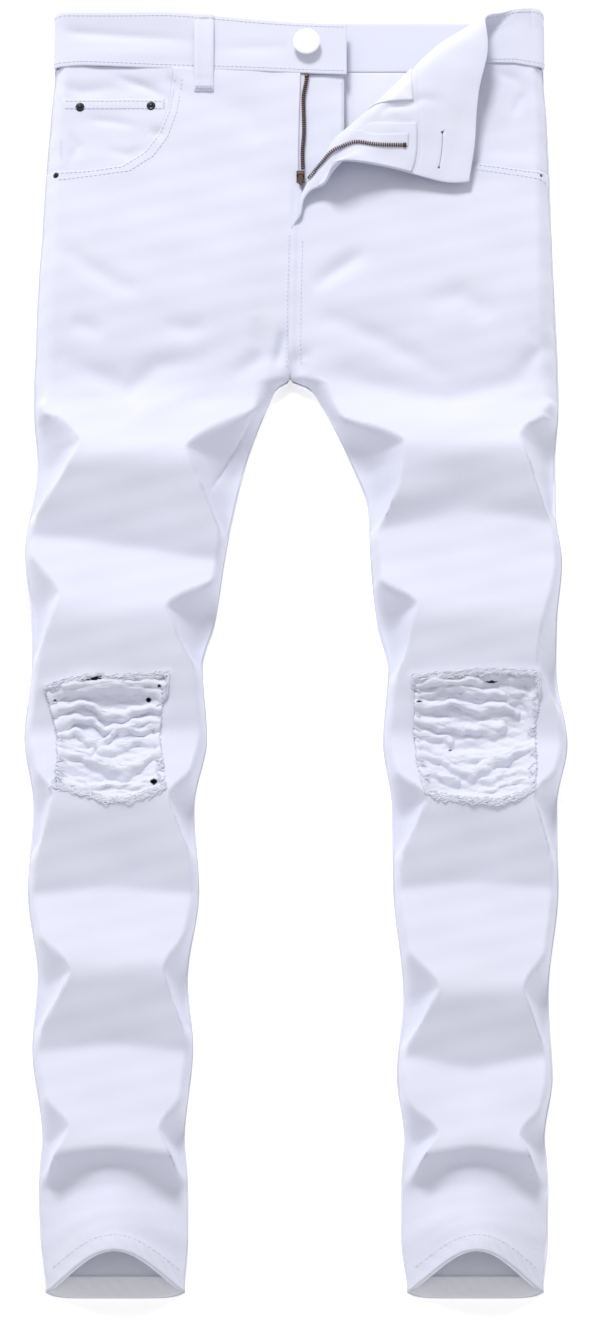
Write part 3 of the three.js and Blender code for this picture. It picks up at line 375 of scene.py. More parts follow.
def rip_line(side: Side) -> tuple[tuple[float, float], ...]:
    """A rip's outline, closed."""
    return (*RIP_OUTLINE[side], RIP_OUTLINE[side][0])


def rip_middle(side: Side) -> float:
    """The mean height of a rip's corners."""
    return sum(y for _, y in RIP_OUTLINE[side]) / len(RIP_OUTLINE[side])


def on_grid(grid: Array, column: Array, row: Array) -> tuple[Array, Array, Array]:
    """Points between those of a grid, and the column and row of the cell that each is in."""
    i = np.clip(column.astype(int), 0, len(grid) - 2)
    j = np.clip(row.astype(int), 0, grid.shape[1] - 2)
    u, v = (column - i)[:, None], (row - j)[:, None]
    points = (grid[i, j] * (1 - u) * (1 - v) + grid[i + 1, j] * u * (1 - v)
              + grid[i, j + 1] * (1 - u) * v + grid[i + 1, j + 1] * u * v)
    return points, i, j


def inside(x: Array, y: Array, outline: Sequence[Sequence[float]]) -> Array:
    """Whether each point lies inside a closed outline."""
    corners = np.array(outline, dtype=float)
    within = np.zeros(np.shape(x), dtype=bool)
    for (ax, ay), (bx, by) in zip(corners, np.roll(corners, -1, axis=0)):
        crosses = (ay > y) != (by > y)
        at = ax + (bx - ax) * (y - ay) / np.where(by == ay, 1e-9, by - ay)
        within ^= crosses & (x < at)
    return within


@dataclass(frozen=True)
class Crease:
    """A soft trough or ridge in the cloth, along a line in the pattern.

    depth is down for a trough and below zero for a ridge. A sharp one is a pinched line.
    """

    line: tuple[tuple[float, float], ...]
    width: float
    depth: float
    sharp: bool = False

    def lift(self, x: Array, y: Array) -> Array:
        """How far the crease moves each point of the cloth out.

        Args:
            x: Places across the pattern.
            y: Places up the pattern.

        Returns:
            Lengths along the cloth's outward direction.
        """
        away, share = along_line(x, y, self.line)
        fade = np.sin(np.pi * np.clip(share, 0.02, 0.98)) ** 0.6
        across = away / self.width
        shape = np.exp(-across * 1.6) if self.sharp else np.exp(-across ** 2)
        return -2.0 * self.depth * fade * shape


CREASES: dict[Side, tuple[Crease, ...]] = {
    Side.RIGHT: (
        Crease(((-180, 320), (-150, 298), (-122, 284)), 8, 1.5),
        Crease(((-175, 262), (-160, 256), (-148, 250)), 8, 1.2),
        Crease(((-104, 262), (-86, 255), (-70, 258)), 8, 1.2),
        Crease(((-33, 268), (-26, 238), (-52, 216)), 8, 1.7),
        Crease(((-180, 230), (-158, 222), (-130, 208), (-108, 226), (-84, 230), (-58, 238)), 9, 1.9),
        Crease(((-18, 226), (-14, 240), (-12, 256)), 5, 2.2),
        Crease(((-144, 463), (-120, 455), (-101, 443)), 3.0, 1.2),
        Crease(((-102, 463), (-96, 456), (-91, 446)), 2.8, 1.4),
        Crease(((-113, 420), (-106, 411)), 3.4, 1.3),
        Crease(((-162, 427), (-143, 425), (-125, 421)), 3.6, 0.9),
        Crease(((-178, 417), (-171, 405), (-175, 391)), 3.2, 1.0),
        Crease(((-186, 455), (-168, 450), (-150, 452)), 4.0, 0.8),
        Crease(((-150, 402), (-130, 398), (-118, 404)), 4.0, 0.8),
        Crease(((-75, 448), (-46, 436), (-30, 405)), 12, 0.9),
        Crease(((-130, 178), (-112, 190), (-78, 206)), 8, -1.0),
        Crease(((-31, 194), (-50, 160), (-70, 126)), 2.2, 1.1, True),
    ),
    Side.LEFT: (
        Crease(((8, 288), (28, 303), (49, 318)), 7, 2.0),
        Crease(((92, 274), (122, 282), (136, 274), (144, 260)), 10, 1.7),
        Crease(((12, 268), (52, 252), (92, 230), (114, 216)), 9, 1.6),
        Crease(((176, 258), (184, 242), (168, 222)), 7, 1.6),
        Crease(((18, 212), (36, 217), (78, 205), (114, 202), (158, 212), (180, 230)), 10, 2.0),
        Crease(((8, 240), (-2, 232), (4, 222)), 6, 1.2),
        Crease(((172, 450), (164, 430)), 4, 1.0),
        Crease(((150, 466), (172, 458)), 4, 0.8),
        Crease(((60, 180), (110, 176), (150, 184)), 10, -0.9),
        Crease(((36, 444), (45, 450), (45, 468), (48, 474)), 2.6, -1.7),
        Crease(((62, 462), (50, 470), (47, 486), (40, 492)), 4, -0.7),
        Crease(((30, 430), (33, 452), (28, 470)), 5, -0.6),
    ),
}


# ------------------------------------------------------------------ the cloth's form


@dataclass
class FrontForm:
    """The shape of one front: where each place of its cut lies in the garment."""

    side: Side
    creases: tuple[Crease, ...] = ()
    outer: Curve = field(init=False)
    inner: Curve = field(init=False)
    top: Profile = field(init=False)
    bow: Curve = field(init=False)
    lean: Curve = field(init=False)
    outer_ramp: Profile = field(init=False)
    inner_ramp: Profile = field(init=False)
    outer_hollow: Profile = field(init=False)
    inner_hollow: Profile = field(init=False)
    inset: Curve = field(init=False)

    def __post_init__(self) -> None:
        """Draws the curves through the stations and the facets."""
        rows = STATIONS[self.side]
        for column, name in enumerate(("outer", "inner", "top", "bow", "lean"), start=1):
            pairs = [(row[0], row[column]) for row in rows]
            setattr(self, name, Profile(pairs, ROUNDING) if name == "top" else Curve(pairs))
        self.inset = Curve(INSEAM_INSET[self.side])
        for seam, hips in (("outer", HIP_OUTER_RAMP), ("inner", HIP_INNER_RAMP)):
            widths, sunk = self._facet_knots(seam)
            setattr(self, f"{seam}_ramp", Profile([*hips, *widths], ((-480, 2.5), (220, 2.5))))
            setattr(self, f"{seam}_hollow", Profile([(230, 0), *sunk], ((-480, 3), (220, 3))))

    def _facet_knots(self, seam: str) -> tuple[list[tuple[float, float]], list[tuple[float, float]]]:
        """Widths of the slope beside a seam, and how hollow it is, down the pinched ridge ends."""
        widths: list[tuple[float, float]] = []
        sunk: list[tuple[float, float]] = []
        for corner, width, rise, foot in FACETS[self.side, seam]:
            widths += [(corner + rise, FACET_FLOOR), (corner + 0.65 * rise, 0.58 * width),
                       (corner + 0.3 * rise, 0.86 * width), (corner, width), (foot, FACET_FLOOR)]
            sunk += [(corner + 0.95 * rise, 0.0), (corner + 0.45 * rise, 0.26), (corner, 0.4),
                     ((corner + foot) / 2, 0.7), (foot + 9, 0.75), (foot - 10, 0.0)]
        return widths, sunk

    def outseam(self, y: Array) -> Array:
        """The front's outer edge at a height."""
        return self.outer(y) - self.side.value * OUTSEAM_INSET

    def inseam(self, y: Array) -> Array:
        """The front's inner edge at a height."""
        return self.inner(y) + self.side.value * self.inset(y)

    def across(self, x: Array, y: Array) -> Array:
        """A place across the leg: 0 at its centre, -1 and 1 at its edges."""
        out, into = self.outseam(y), self.inseam(y)
        return np.clip((x - (out + into) / 2) / (np.abs(out - into) / 2), -1, 1)

    @staticmethod
    def _share(distance: Array, ramp: Array, hollow: Array) -> Array:
        """Share of the full height that a slope has reached, a given way up it."""
        t = np.clip(distance / ramp, 0, 1)
        return mix(1 - (1 - t) ** FULLNESS, t ** (1 + HOLLOWNESS * hollow), smooth(0, 0.55, hollow))

    def height(self, x: Array, y: Array) -> Array:
        """Height of the middle of the cloth above the surface."""
        across = self.across(x, y)
        hips = smooth(198, 242, y)
        to_inseam = across * -self.side.value
        bowed = self.bow(y) * np.sqrt(across ** 2 + 0.02) + self.lean(y) * to_inseam
        top = self.top(y + bowed * (1 - hips))
        from_outer, from_inner = np.abs(x - self.outseam(y)), np.abs(x - self.inseam(y))
        outer_ramp, inner_ramp = self.outer_ramp(y), self.inner_ramp(y)
        flat = np.minimum(self._share(from_outer, outer_ramp, self.outer_hollow(y)),
                          mix(self._share(from_inner, inner_ramp, self.inner_hollow(y)), 1.0, hips))
        arch = np.maximum(np.cos(across * np.pi / 2), 0) ** 1.2
        tent = smooth(-380, -404, y)
        pinch = sum(bump(away, 0, 2.4) * smooth(10, 20, ramp) for away, ramp in (
            (from_outer - outer_ramp, outer_ramp), (from_inner - inner_ramp, inner_ramp)))
        seam_trough = 5 * bump(x, -7, 24) * bump(y, 270, 70) * hips
        return (SEAM_HEIGHT + (top - SEAM_HEIGHT) * mix(flat, arch, tent) - seam_trough
                + 0.5 * pinch * (1 - hips) * (1 - tent))

    def flat(self, x: Array, y: Array) -> Array:
        """Points of the front before any fold, drawn back where the hem is raised."""
        lifted = np.cos(self.across(x, y) * np.pi / 2) ** 1.2 * smooth(-400, HEM_Y, y)
        return np.stack([x, y + HEM_ARCH_PULL * lifted, self.height(x, y)], axis=-1)

    def place(self, x: Array, y: Array) -> Array:
        """Points of the middle of the cloth, before its small creases."""
        return self.flat(x, y)

    def outward(self, x: Array, y: Array) -> Array:
        """The cloth's outward direction at each place."""
        step = 0.8
        along_x = self.place(x + step, y) - self.place(x - step, y)
        along_y = self.place(x, y + step) - self.place(x, y - step)
        normal = np.cross(along_x, along_y)
        return normal / np.maximum(np.linalg.norm(normal, axis=-1, keepdims=True), 1e-9)

    def rumple(self, x: Array, y: Array) -> Array:
        """How far the creases and the slight unevenness of worn cloth move it out."""
        lift = sum((crease.lift(x, y) for crease in self.creases), np.zeros(np.shape(x)))
        uneven = (np.sin(x * 0.071 + y * 0.043 + 1.3) * np.sin(y * 0.089 - x * 0.031)
                  + 0.6 * np.sin(x * 0.157 - y * 0.112) * np.sin(y * 0.19 + x * 0.083 + 0.7))
        return lift + 0.5 * uneven

    def laid(self, x: Array, y: Array, layer: Array | float = 0.0) -> Array:
        """Points on the cloth, or on a layer of it.

        Args:
            x: Places across the cut.
            y: Places up the cut.
            layer: How far out of the cloth's middle, below zero for inside.

        Returns:
            The points, in the pattern's frame.
        """
        out = np.asarray(self.rumple(x, y) + layer)
        return self.place(x, y) + self.outward(x, y) * out[..., None]


class FoldedForm(FrontForm):
    """The left front, whose upper corner is rolled over its own outside."""

    length = math.hypot(FOLD_TOP[0] - FLY_FOOT[0], FOLD_TOP[1] - FLY_FOOT[1])
    along = ((FOLD_TOP[0] - FLY_FOOT[0]) / length, (FOLD_TOP[1] - FLY_FOOT[1]) / length)
    axis = Curve(FOLD_AXIS)
    radius = Curve(FOLD_RADIUS)

    def fold_place(self, x: Array, y: Array) -> tuple[Array, Array, Array]:
        """Distance along the fold, how far past its axis, and its radius there."""
        dx, dy = x - FLY_FOOT[0], y - FLY_FOOT[1]
        along = dx * self.along[0] + dy * self.along[1]
        past = -dx * self.along[1] + dy * self.along[0] - self.axis(along)
        return along, past, self.radius(along)

    def crossing(self, y: Array, share: float) -> Array:
        """Where a row crosses a given share of the fold's half turn."""
        low = np.full(np.shape(y), FLY_EDGE - 60.0)
        high = np.full(np.shape(y), 190.0)
        for _ in range(36):
            middle = (low + high) / 2
            _, past, radius = self.fold_place(middle, y)
            folded = past > share * np.pi * radius
            low, high = np.where(folded, middle, low), np.where(folded, high, middle)
        return low

    def place(self, x: Array, y: Array) -> Array:
        """Points of the cloth: flat as far as the fold, then rolled over on top."""
        along, past, radius = self.fold_place(x, y)
        axis = self.axis(along)
        axis_x = FLY_FOOT[0] + along * self.along[0] - axis * self.along[1]
        axis_y = FLY_FOOT[1] + along * self.along[1] + axis * self.along[0]
        base = self.height(axis_x, axis_y)
        angle = past / radius
        width = past - np.pi * radius
        lift = bump(along, 45, 28)
        turned = angle > np.pi
        offset = np.where(turned, -width * (1 - 0.7 * lift * smooth(0, 24, width)),
                          radius * np.sin(angle))
        rest = np.minimum(2 * radius, 9.0)
        lying = mix(2 * radius, rest, smooth(0, 90, width)) + 19 * lift * smooth(2, 26, width)
        rise = np.where(turned, lying, radius * (1 - np.cos(angle)))
        corner = smooth(40, 85, width) * smooth(150, 110, along)
        aside = 15.0 * bump(along, 198, 40) * smooth(0, 56, past) - 8.0 * corner
        rolled = np.stack([axis_x - offset * self.along[1] + aside,
                           axis_y + offset * self.along[0] - 6.0 * corner, base + rise], axis=-1)
        unfolded = (past <= 0) | (y < FLY_FOOT[1] - 8)
        return np.where(unfolded[..., None], self.flat(x, y), rolled)


centre_seam = Curve(CENTRE_SEAM)
right_edge = Curve(RIGHT_EDGE)


def fly_edge(y: Array) -> Array:
    """Free edge of the left front, unfolded: it runs out from the fly's foot."""
    drawn_in = 8.0 * bump(y, 382, 26) * smooth(FLY_FOOT[1] + 4, FLY_FOOT[1] + 34, y)
    return mix(centre_seam(y) + GAP / 2, FLY_EDGE, smooth(FLY_FOOT[1] - 4, 400, y)) + drawn_in


def band_bottom(side: Side, x: Array) -> Array:
    """The waistband's lower edge on a front."""
    on_front = 464.8 - 0.036 * x if side is Side.RIGHT else LEFT_BAND_BOTTOM + 0 * x
    return mix(on_front, BACK_BAND_BOTTOM, smooth(165, 182, np.abs(x)))


def band_top(side: Side, x: Array) -> Array:
    """The waistband's upper edge on a front: it dips towards the open fly."""
    return 514 - 9 * smooth(-110, 30, x) if side is Side.RIGHT else LEFT_BAND_TOP + 0 * x


def to_band(side: Side, x: Array, y: Array) -> Array:
    """How far cloth is moved along Y to run in under the band's lower edge."""
    return smooth(430, BACK_BAND_BOTTOM, y) * (band_bottom(side, x) + 1.5 - BACK_BAND_BOTTOM)


# ------------------------------------------------------------------ finishes


def set_inputs(node: bpy.types.Node, values: dict[str, object]) -> None:
    """Sets a node's inputs by name."""
    for name, value in values.items():
        node.inputs[name].default_value = value


def add_node(tree: bpy.types.NodeTree, kind: str, inputs: dict[str, object] | None = None,
             **settings: object) -> bpy.types.Node:
    """Adds a shader node.

    Args:
        tree: The tree it goes into.
        kind: Its type, without the common prefix.
        inputs: Values of its inputs, by name.
        settings: Values of its properties.

    Returns:
        The node.
    """
    node = tree.nodes.new(f"ShaderNode{kind}")
    for name, value in settings.items():
        setattr(node, name, value)
    set_inputs(node, inputs or {})
    return node


def link(tree: bpy.types.NodeTree, *wires: tuple) -> None:
    """Links nodes: each wire is a node, its output, another node and its input."""
    for source, output, target, into in wires:
        tree.links.new(source.outputs[output], target.inputs[into])


def new_group(name: str, takes: Sequence[str], gives: Sequence[str]) -> tuple:
    """A node group, with the nodes of its inputs and outputs. All but Vector are numbers."""
    group = bpy.data.node_groups.new(name, "ShaderNodeTree")
    for way, sockets in (("INPUT", takes), ("OUTPUT", gives)):
        for socket in sockets:
            kind = "NodeSocketVector" if socket == "Vector" else "NodeSocketFloat"
            group.interface.new_socket(name=socket, in_out=way, socket_type=kind)
    return group, group.nodes.new("NodeGroupInput"), group.nodes.new("NodeGroupOutput")


class Weave:
    """Twill cloth: fine diagonal ribs, a soft mottle and faint lint, as one node group."""

    name = "TwillCloth"

    def build(self) -> bpy.types.NodeTree:
        """Makes the group: it puts out the weave's height and a mottled shade mask."""
        group, given, out = new_group(
            self.name, ("Vector", "Ribs", "Mottle Scale", "Slub"), ("Height", "Shade"))
        turn = add_node(group, "Mapping", {"Rotation": (0, 0, math.radians(58))})
        ribs = add_node(group, "TexWave", {"Distortion": 1.2, "Detail": 1.0, "Detail Scale": 2.0})
        mottle = add_node(group, "TexNoise", {"Detail": 4.0})
        grain = add_node(group, "TexNoise", {"Scale": 900.0, "Detail": 2.0})
        slub = add_node(group, "Math", operation="MULTIPLY")
        total = add_node(group, "Math", operation="ADD")
        link(group, (given, "Vector", turn, "Vector"), (turn, "Vector", ribs, "Vector"),
             (given, "Ribs", ribs, "Scale"), (given, "Vector", mottle, "Vector"),
             (given, "Mottle Scale", mottle, "Scale"), (given, "Vector", grain, "Vector"),
             (grain, "Fac", slub, 0), (given, "Slub", slub, 1), (ribs, "Fac", total, 0),
             (slub, 0, total, 1), (total, 0, out, "Height"), (mottle, "Fac", out, "Shade"))
        return group


class Tarnish:
    """Aged metal: a cloudy mask between its clean and its dulled colour, as one node group."""

    name = "AgedMetal"

    def build(self) -> bpy.types.NodeTree:
        """Makes the group: it puts out a dulling mask and a fine pitted height."""
        group, given, out = new_group(self.name, ("Vector", "Scale", "Amount"), ("Mask", "Height"))
        cloud = add_node(group, "TexNoise", {"Detail": 5.0})
        times = add_node(group, "Math", operation="MULTIPLY", use_clamp=True)
        link(group, (given, "Vector", cloud, "Vector"), (given, "Scale", cloud, "Scale"),
             (cloud, "Fac", times, 0), (given, "Amount", times, 1), (times, 0, out, "Mask"),
             (cloud, "Fac", out, "Height"))
        return group


def blank_material(name: str) -> tuple[bpy.types.Material, bpy.types.Node]:
    """A new material and its shader node."""
    material = bpy.data.materials.new(name)
    material.use_nodes = True
    return material, material.node_tree.nodes["Principled BSDF"]


def group_material(name: str, maker: Weave | Tarnish, given: dict[str, float], mask: str,
                   colours: Sequence[tuple[float, float, float]], shader_values: dict[str, float],
                   relief: tuple[float, float] | None = None,
                   where: str = "Object") -> bpy.types.Material:
    """A material whose shared group mixes two colours and may raise the surface.

    Args:
        name: The material's name.
        maker: What makes the shared group the first time.
        given: Values of the group's inputs.
        mask: The group's output that mixes the colours.
        colours: The colours where the mask is 0 and where it is 1.
        shader_values: Values set straight on the shader.
        relief: Strength and distance of the relief, or nothing for a smooth surface.
        where: The coordinates that the group reads.

    Returns:
        The material.
    """
    material, shader = blank_material(name)
    tree = material.node_tree
    place = add_node(tree, "TexCoord")
    group = add_node(tree, "Group", node_tree=bpy.data.node_groups.get(maker.name) or maker.build())
    set_inputs(group, given)
    low, high = ((*colour, 1) for colour in colours)
    tint = add_node(tree, "Mix", {"A": low, "B": high}, data_type="RGBA")
    link(tree, (place, where, group, "Vector"), (group, mask, tint, "Factor"),
         (tint, "Result", shader, "Base Color"))
    if relief:
        raised = add_node(tree, "Bump", {"Strength": relief[0], "Distance": relief[1]})
        link(tree, (group, "Height", raised, "Height"), (raised, "Normal", shader, "Normal"))
    set_inputs(shader, shader_values)
    return material


@dataclass(frozen=True)
class ClothFinish:
    """Matt cloth: its colour, the shade its mottle reaches, and its weave."""

    name: str
    slot: str
    colour: tuple[float, float, float]
    shade: tuple[float, float, float]
    roughness: float = 0.86
    ribs: float = 420.0
    rib_depth: float = 0.00022
    slub: float = 0.5
    uses_cut: bool = True

    def make(self) -> bpy.types.Material:
        """Builds the material."""
        return group_material(
            self.name, Weave(), {"Ribs": self.ribs, "Mottle Scale": 26.0, "Slub": self.slub}, "Shade",
            (self.shade, self.colour),
            {"Roughness": self.roughness, "Specular IOR Level": 0.25, "Sheen Weight": 0.08,
             "Sheen Roughness": 0.5},
            (0.5, self.rib_depth), "UV" if self.uses_cut else "Object")


@dataclass(frozen=True)
class MetalFinish:
    """Plated metal that has aged: clean and dulled colours, and roughness."""

    name: str
    slot: str
    clean: tuple[float, float, float]
    dull: tuple[float, float, float]
    roughness: float = 0.38
    scale: float = 900.0

    def make(self) -> bpy.types.Material:
        """Builds the material."""
        return group_material(
            self.name, Tarnish(), {"Scale": self.scale, "Amount": 1.3}, "Mask", (self.clean, self.dull),
            {"Metallic": 0.85, "Roughness": self.roughness}, (0.25, 0.0001))


@dataclass(frozen=True)
class EnamelFinish:
    """Glossy enamel over metal, with the faintest cloudiness."""

    name: str = "ButtonEnamel"
    slot: str = "button"

    def make(self) -> bpy.types.Material:
        """Builds the material."""
        return group_material(
            self.name, Tarnish(), {"Scale": 300.0, "Amount": 0.6}, "Mask",
            ((1.0, 1.0, 1.0), (0.97, 0.97, 0.98)),
            {"Roughness": 0.16, "Coat Weight": 0.5, "Coat Roughness": 0.05})


class Finish(Enum):
    """Every finish on the garment."""

    DENIM = ClothFinish("WhiteDenim", "denim", (0.745, 0.755, 0.875), (0.715, 0.725, 0.865))
    INSIDE = ClothFinish("DenimInside", "inside", (0.82, 0.825, 0.925), (0.79, 0.795, 0.91), 0.9)
    # Pocket cotton, whiter than the denim's inside. Only the hem turns are laid in it. That is painted light:
    # it brightens strips that lie in the raised hems' shade.
    BAG = ClothFinish("PocketCottonWithPaintedLight", "bag", (0.92, 0.925, 0.98), (0.89, 0.895, 0.965), 0.9, 700.0,
                     0.0001)
    WEFT = ClothFinish("WornWeft", "weft", (0.80, 0.81, 0.91), (0.76, 0.77, 0.895), 0.92, 500.0,
                       0.0003, 1.0)
    YARN = ClothFinish("LooseYarn", "weft", (0.86, 0.87, 0.975), (0.83, 0.84, 0.96), 0.92, 1500.0,
                       0.0002, 1.0, False)
    THREAD = ClothFinish("SewingThread", "denim", (0.77, 0.77, 0.88), (0.71, 0.72, 0.84), 0.7, 2500.0,
                         0.0001, 0.3, False)
    ZIP_METAL = MetalFinish("AntiqueBrass", "brass", (0.16, 0.10, 0.075), (0.06, 0.04, 0.035))
    RIVET_METAL = MetalFinish("BlackNickel", "rivet", (0.05, 0.045, 0.055), (0.02, 0.018, 0.022), 0.3)
    ENAMEL = EnamelFinish()

    def material(self) -> bpy.types.Material:
        """The finish's material, made the first time it is asked for."""
        return bpy.data.materials.get(self.value.name) or self.value.make()


# ------------------------------------------------------------------ making pieces


def add_piece(name: str, data: bpy.types.ID) -> bpy.types.Object:
    """Puts a new object into the scene."""
    piece = bpy.data.objects.new(name, data)
    bpy.context.scene.collection.objects.link(piece)
    return piece


def round_edges(piece: bpy.types.Object, width: float, degrees: float) -> None:
    """Rounds the edges of a piece that turn by more than an angle."""
    edge = piece.modifiers.new("Edge", "BEVEL")
    edge.width = width * MM
    edge.segments = 2
    edge.limit_method = "ANGLE"
    edge.angle_limit = math.radians(degrees)


@dataclass
class Cut:
    """A flat piece of cloth on a fine grid, which is cut, then laid on its form."""

    columns: int
    rows: int
    crowding: float = 0.0
    mesh: bmesh.types.BMesh = field(init=False)
    share: Array = field(init=False)

    def __post_init__(self) -> None:
        """Starts the grid, its shares across and up from 0 to 1."""
        self.mesh = bmesh.new()
        bmesh.ops.create_grid(self.mesh, x_segments=self.columns, y_segments=self.rows, size=0.5)
        self.share = self.places() + 0.5
        s = self.share[:, 0]
        self.share[:, 0] = s - self.crowding * np.sin(2 * np.pi * s) / (2 * np.pi)

    def places(self) -> Array:
        """Where the grid's points are, across and up."""
        return np.array([vertex.co[:2] for vertex in self.mesh.verts])

    def move(self, x: Array, y: Array) -> None:
        """Puts the grid's points at flat places."""
        for vertex, px, py in zip(self.mesh.verts, x, y):
            vertex.co = (px, py, 0)

    def cut_out(self, outline: Sequence[Sequence[float]], reach: float, keep: bool = False) -> None:
        """Cuts an outline out of the cloth, and draws the new edge onto the line.

        Args:
            outline: The closed outline.
            reach: How near the line an edge point must be to be drawn onto it.
            keep: Keeps what is inside and drops the rest.
        """
        centres = self.centres()
        within = inside(centres[:, 0], centres[:, 1], outline) != keep
        gone = [face for face, out in zip(self.mesh.faces, within) if out]
        before = {vertex for vertex in self.mesh.verts if vertex.is_boundary}
        bmesh.ops.delete(self.mesh, geom=gone, context="FACES")
        closed = np.array([*outline, outline[0]], dtype=float)
        for vertex in self.mesh.verts:
            if not vertex.is_boundary or vertex in before:
                continue
            spot = vertex.co.xy
            best, target = reach, None
            for a, b in zip(closed, closed[1:]):
                t = np.clip(np.dot(np.array(spot) - a, b - a) / max(np.dot(b - a, b - a), 1e-9), 0, 1)
                near = a + (b - a) * t
                away = math.hypot(*(near - np.array(spot)))
                if away < best:
                    best, target = away, near
            if target is not None:
                vertex.co.x, vertex.co.y = target

    def slit(self, middle: tuple[float, float], half: float, tall: float) -> None:
        """Opens a lens-shaped gap along the threads."""
        points = self.centres()
        x = (points[:, 0] - middle[0]) / half
        y = (points[:, 1] - middle[1]) / tall
        gone = [face for face, out in zip(self.mesh.faces, np.abs(x) + y ** 2 < 1) if out]
        bmesh.ops.delete(self.mesh, geom=gone, context="FACES")

    def centres(self) -> Array:
        """The middle of each face."""
        return np.array([face.calc_center_median()[:2] for face in self.mesh.faces])

    def lay(self, name: str, place: Place, thickness: float, finish: Finish,
            rounded: float = 0.0) -> bpy.types.Object:
        """Lays the cut on its form and gives it its thickness.

        Args:
            name: The piece's name.
            place: Gives the points in the pattern's frame for places across and up.
            thickness: The cloth's thickness.
            finish: The finish of both faces.
            rounded: How much the rim is rounded, or 0 for a raw edge.

        Returns:
            The finished object.
        """
        flat = self.places()
        cut_map = self.mesh.loops.layers.uv.new("cut")
        for face in self.mesh.faces:
            for loop in face.loops:
                loop[cut_map].uv = (loop.vert.co.x * MM, loop.vert.co.y * MM)
        points = (place(flat[:, 0], flat[:, 1]) + ORIGIN_SHIFT) * MM
        for vertex, point in zip(self.mesh.verts, points):
            vertex.co = point
        self.mesh.normal_update()
        data = bpy.data.meshes.new(name)
        self.mesh.to_mesh(data)
        self.mesh.free()
        data.shade_smooth()
        piece = add_piece(name, data)
        shell = piece.modifiers.new("Cloth", "SOLIDIFY")
        shell.thickness = thickness * MM
        shell.offset = 0
        shell.use_rim = True
        if rounded:
            round_edges(piece, rounded, 60)
        data.materials.append(finish.material())
        return piece


@dataclass
class Template:
    """A small shape that is repeated many times in one joined mesh."""

    points: Array
    faces: list[tuple[int, ...]]

    @classmethod
    def tube(cls, rings: int, sides: int) -> "Template":
        """A closed unit tube along X, from 0 to 1, with tapered ends."""
        mesh = bmesh.new()
        bmesh.ops.create_cone(mesh, cap_ends=True, segments=sides, radius1=1, radius2=1, depth=1)
        lengthwise = [edge for edge in mesh.edges
                      if abs(edge.verts[0].co.z - edge.verts[1].co.z) > 0.5]
        bmesh.ops.subdivide_edges(mesh, edges=lengthwise, cuts=rings - 2)
        for vertex in mesh.verts:
            x, y, z = vertex.co
            vertex.co = (z + 0.5, x, y)
        mesh.verts.index_update()
        made = cls(np.array([vertex.co[:] for vertex in mesh.verts]),
                   [tuple(vertex.index for vertex in reversed(face.verts)) for face in mesh.faces])
        mesh.free()
        return made

    @classmethod
    def block(cls) -> "Template":
        """A unit block with bevelled edges."""
        mesh = bmesh.new()
        bmesh.ops.create_cube(mesh, size=1.0)
        bmesh.ops.bevel(mesh, geom=list(mesh.edges), offset=0.16, segments=1, profile=0.5,
                        affect="EDGES", material=-1)
        mesh.verts.index_update()
        made = cls(np.array([vertex.co[:] for vertex in mesh.verts]),
                   [tuple(vertex.index for vertex in face.verts) for face in mesh.faces])
        mesh.free()
        return made


class Repeats:
    """Copies of a template, joined as one mesh."""

    def __init__(self, template: Template) -> None:
        """Starts with no copies."""
        self.template = template
        self.copies: list[Array] = []

    def add_frame(self, centre: Array, axes: Array, sizes: Sequence[float]) -> None:
        """Adds a copy at a centre, on three axes, scaled to sizes."""
        self.copies.append(centre + (self.template.points * np.array(sizes)) @ axes)

    def add_thread(self, path: Array, radius: float, taper: float = 0.5) -> None:
        """Adds a thread along a path of points.

        Args:
            path: Points along the thread.
            radius: The thread's radius.
            taper: The share of the radius left at both ends.
        """
        unit = self.template.points
        spacing = np.linspace(0, 1, len(path))
        t = unit[:, 0]
        centre = np.stack([np.interp(t, spacing, path[:, k]) for k in range(3)], axis=1)
        ahead = np.gradient(path, axis=0)
        tangent = np.stack([np.interp(t, spacing, ahead[:, k]) for k in range(3)], axis=1)
        tangent /= np.maximum(np.linalg.norm(tangent, axis=1, keepdims=True), 1e-9)
        side = np.cross(tangent, [0.0, 0.0, 1.0])
        steep = np.linalg.norm(side, axis=1, keepdims=True) < 1e-3
        side = np.where(steep, [1.0, 0.0, 0.0], side)
        side /= np.linalg.norm(side, axis=1, keepdims=True)
        up = np.cross(side, tangent)
        thick = radius * mix(taper, 1.0, np.sqrt(np.clip(np.sin(np.pi * np.clip(t, 0.02, 0.98)), 0, 1)))
        self.copies.append(centre + side * (unit[:, 1] * thick)[:, None] + up * (unit[:, 2] * thick)[:, None])

    def make(self, name: str, finish: Finish) -> bpy.types.Object:
        """Joins the copies into one piece."""
        count = len(self.template.points)
        points = (np.concatenate(self.copies) + ORIGIN_SHIFT) * MM
        faces = [tuple(i + n * count for i in face)
                 for n in range(len(self.copies)) for face in self.template.faces]
        data = bpy.data.meshes.new(name)
        data.from_pydata(points.tolist(), [], faces)
        data.shade_smooth()
        data.materials.append(finish.material())
        return add_piece(name, data)


def settle(piece: bpy.types.Object, finish: Finish, nodes: Sequence[str] = ()) -> bpy.types.Object:
    """Puts a piece on the garment's body and the nodes it stands for."""
    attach(piece, "garment")
    if nodes:
        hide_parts(*nodes)
    LOG.info("%s: %d faces", piece.name, len(piece.data.polygons))
    return piece


# ------------------------------------------------------------------ stitching


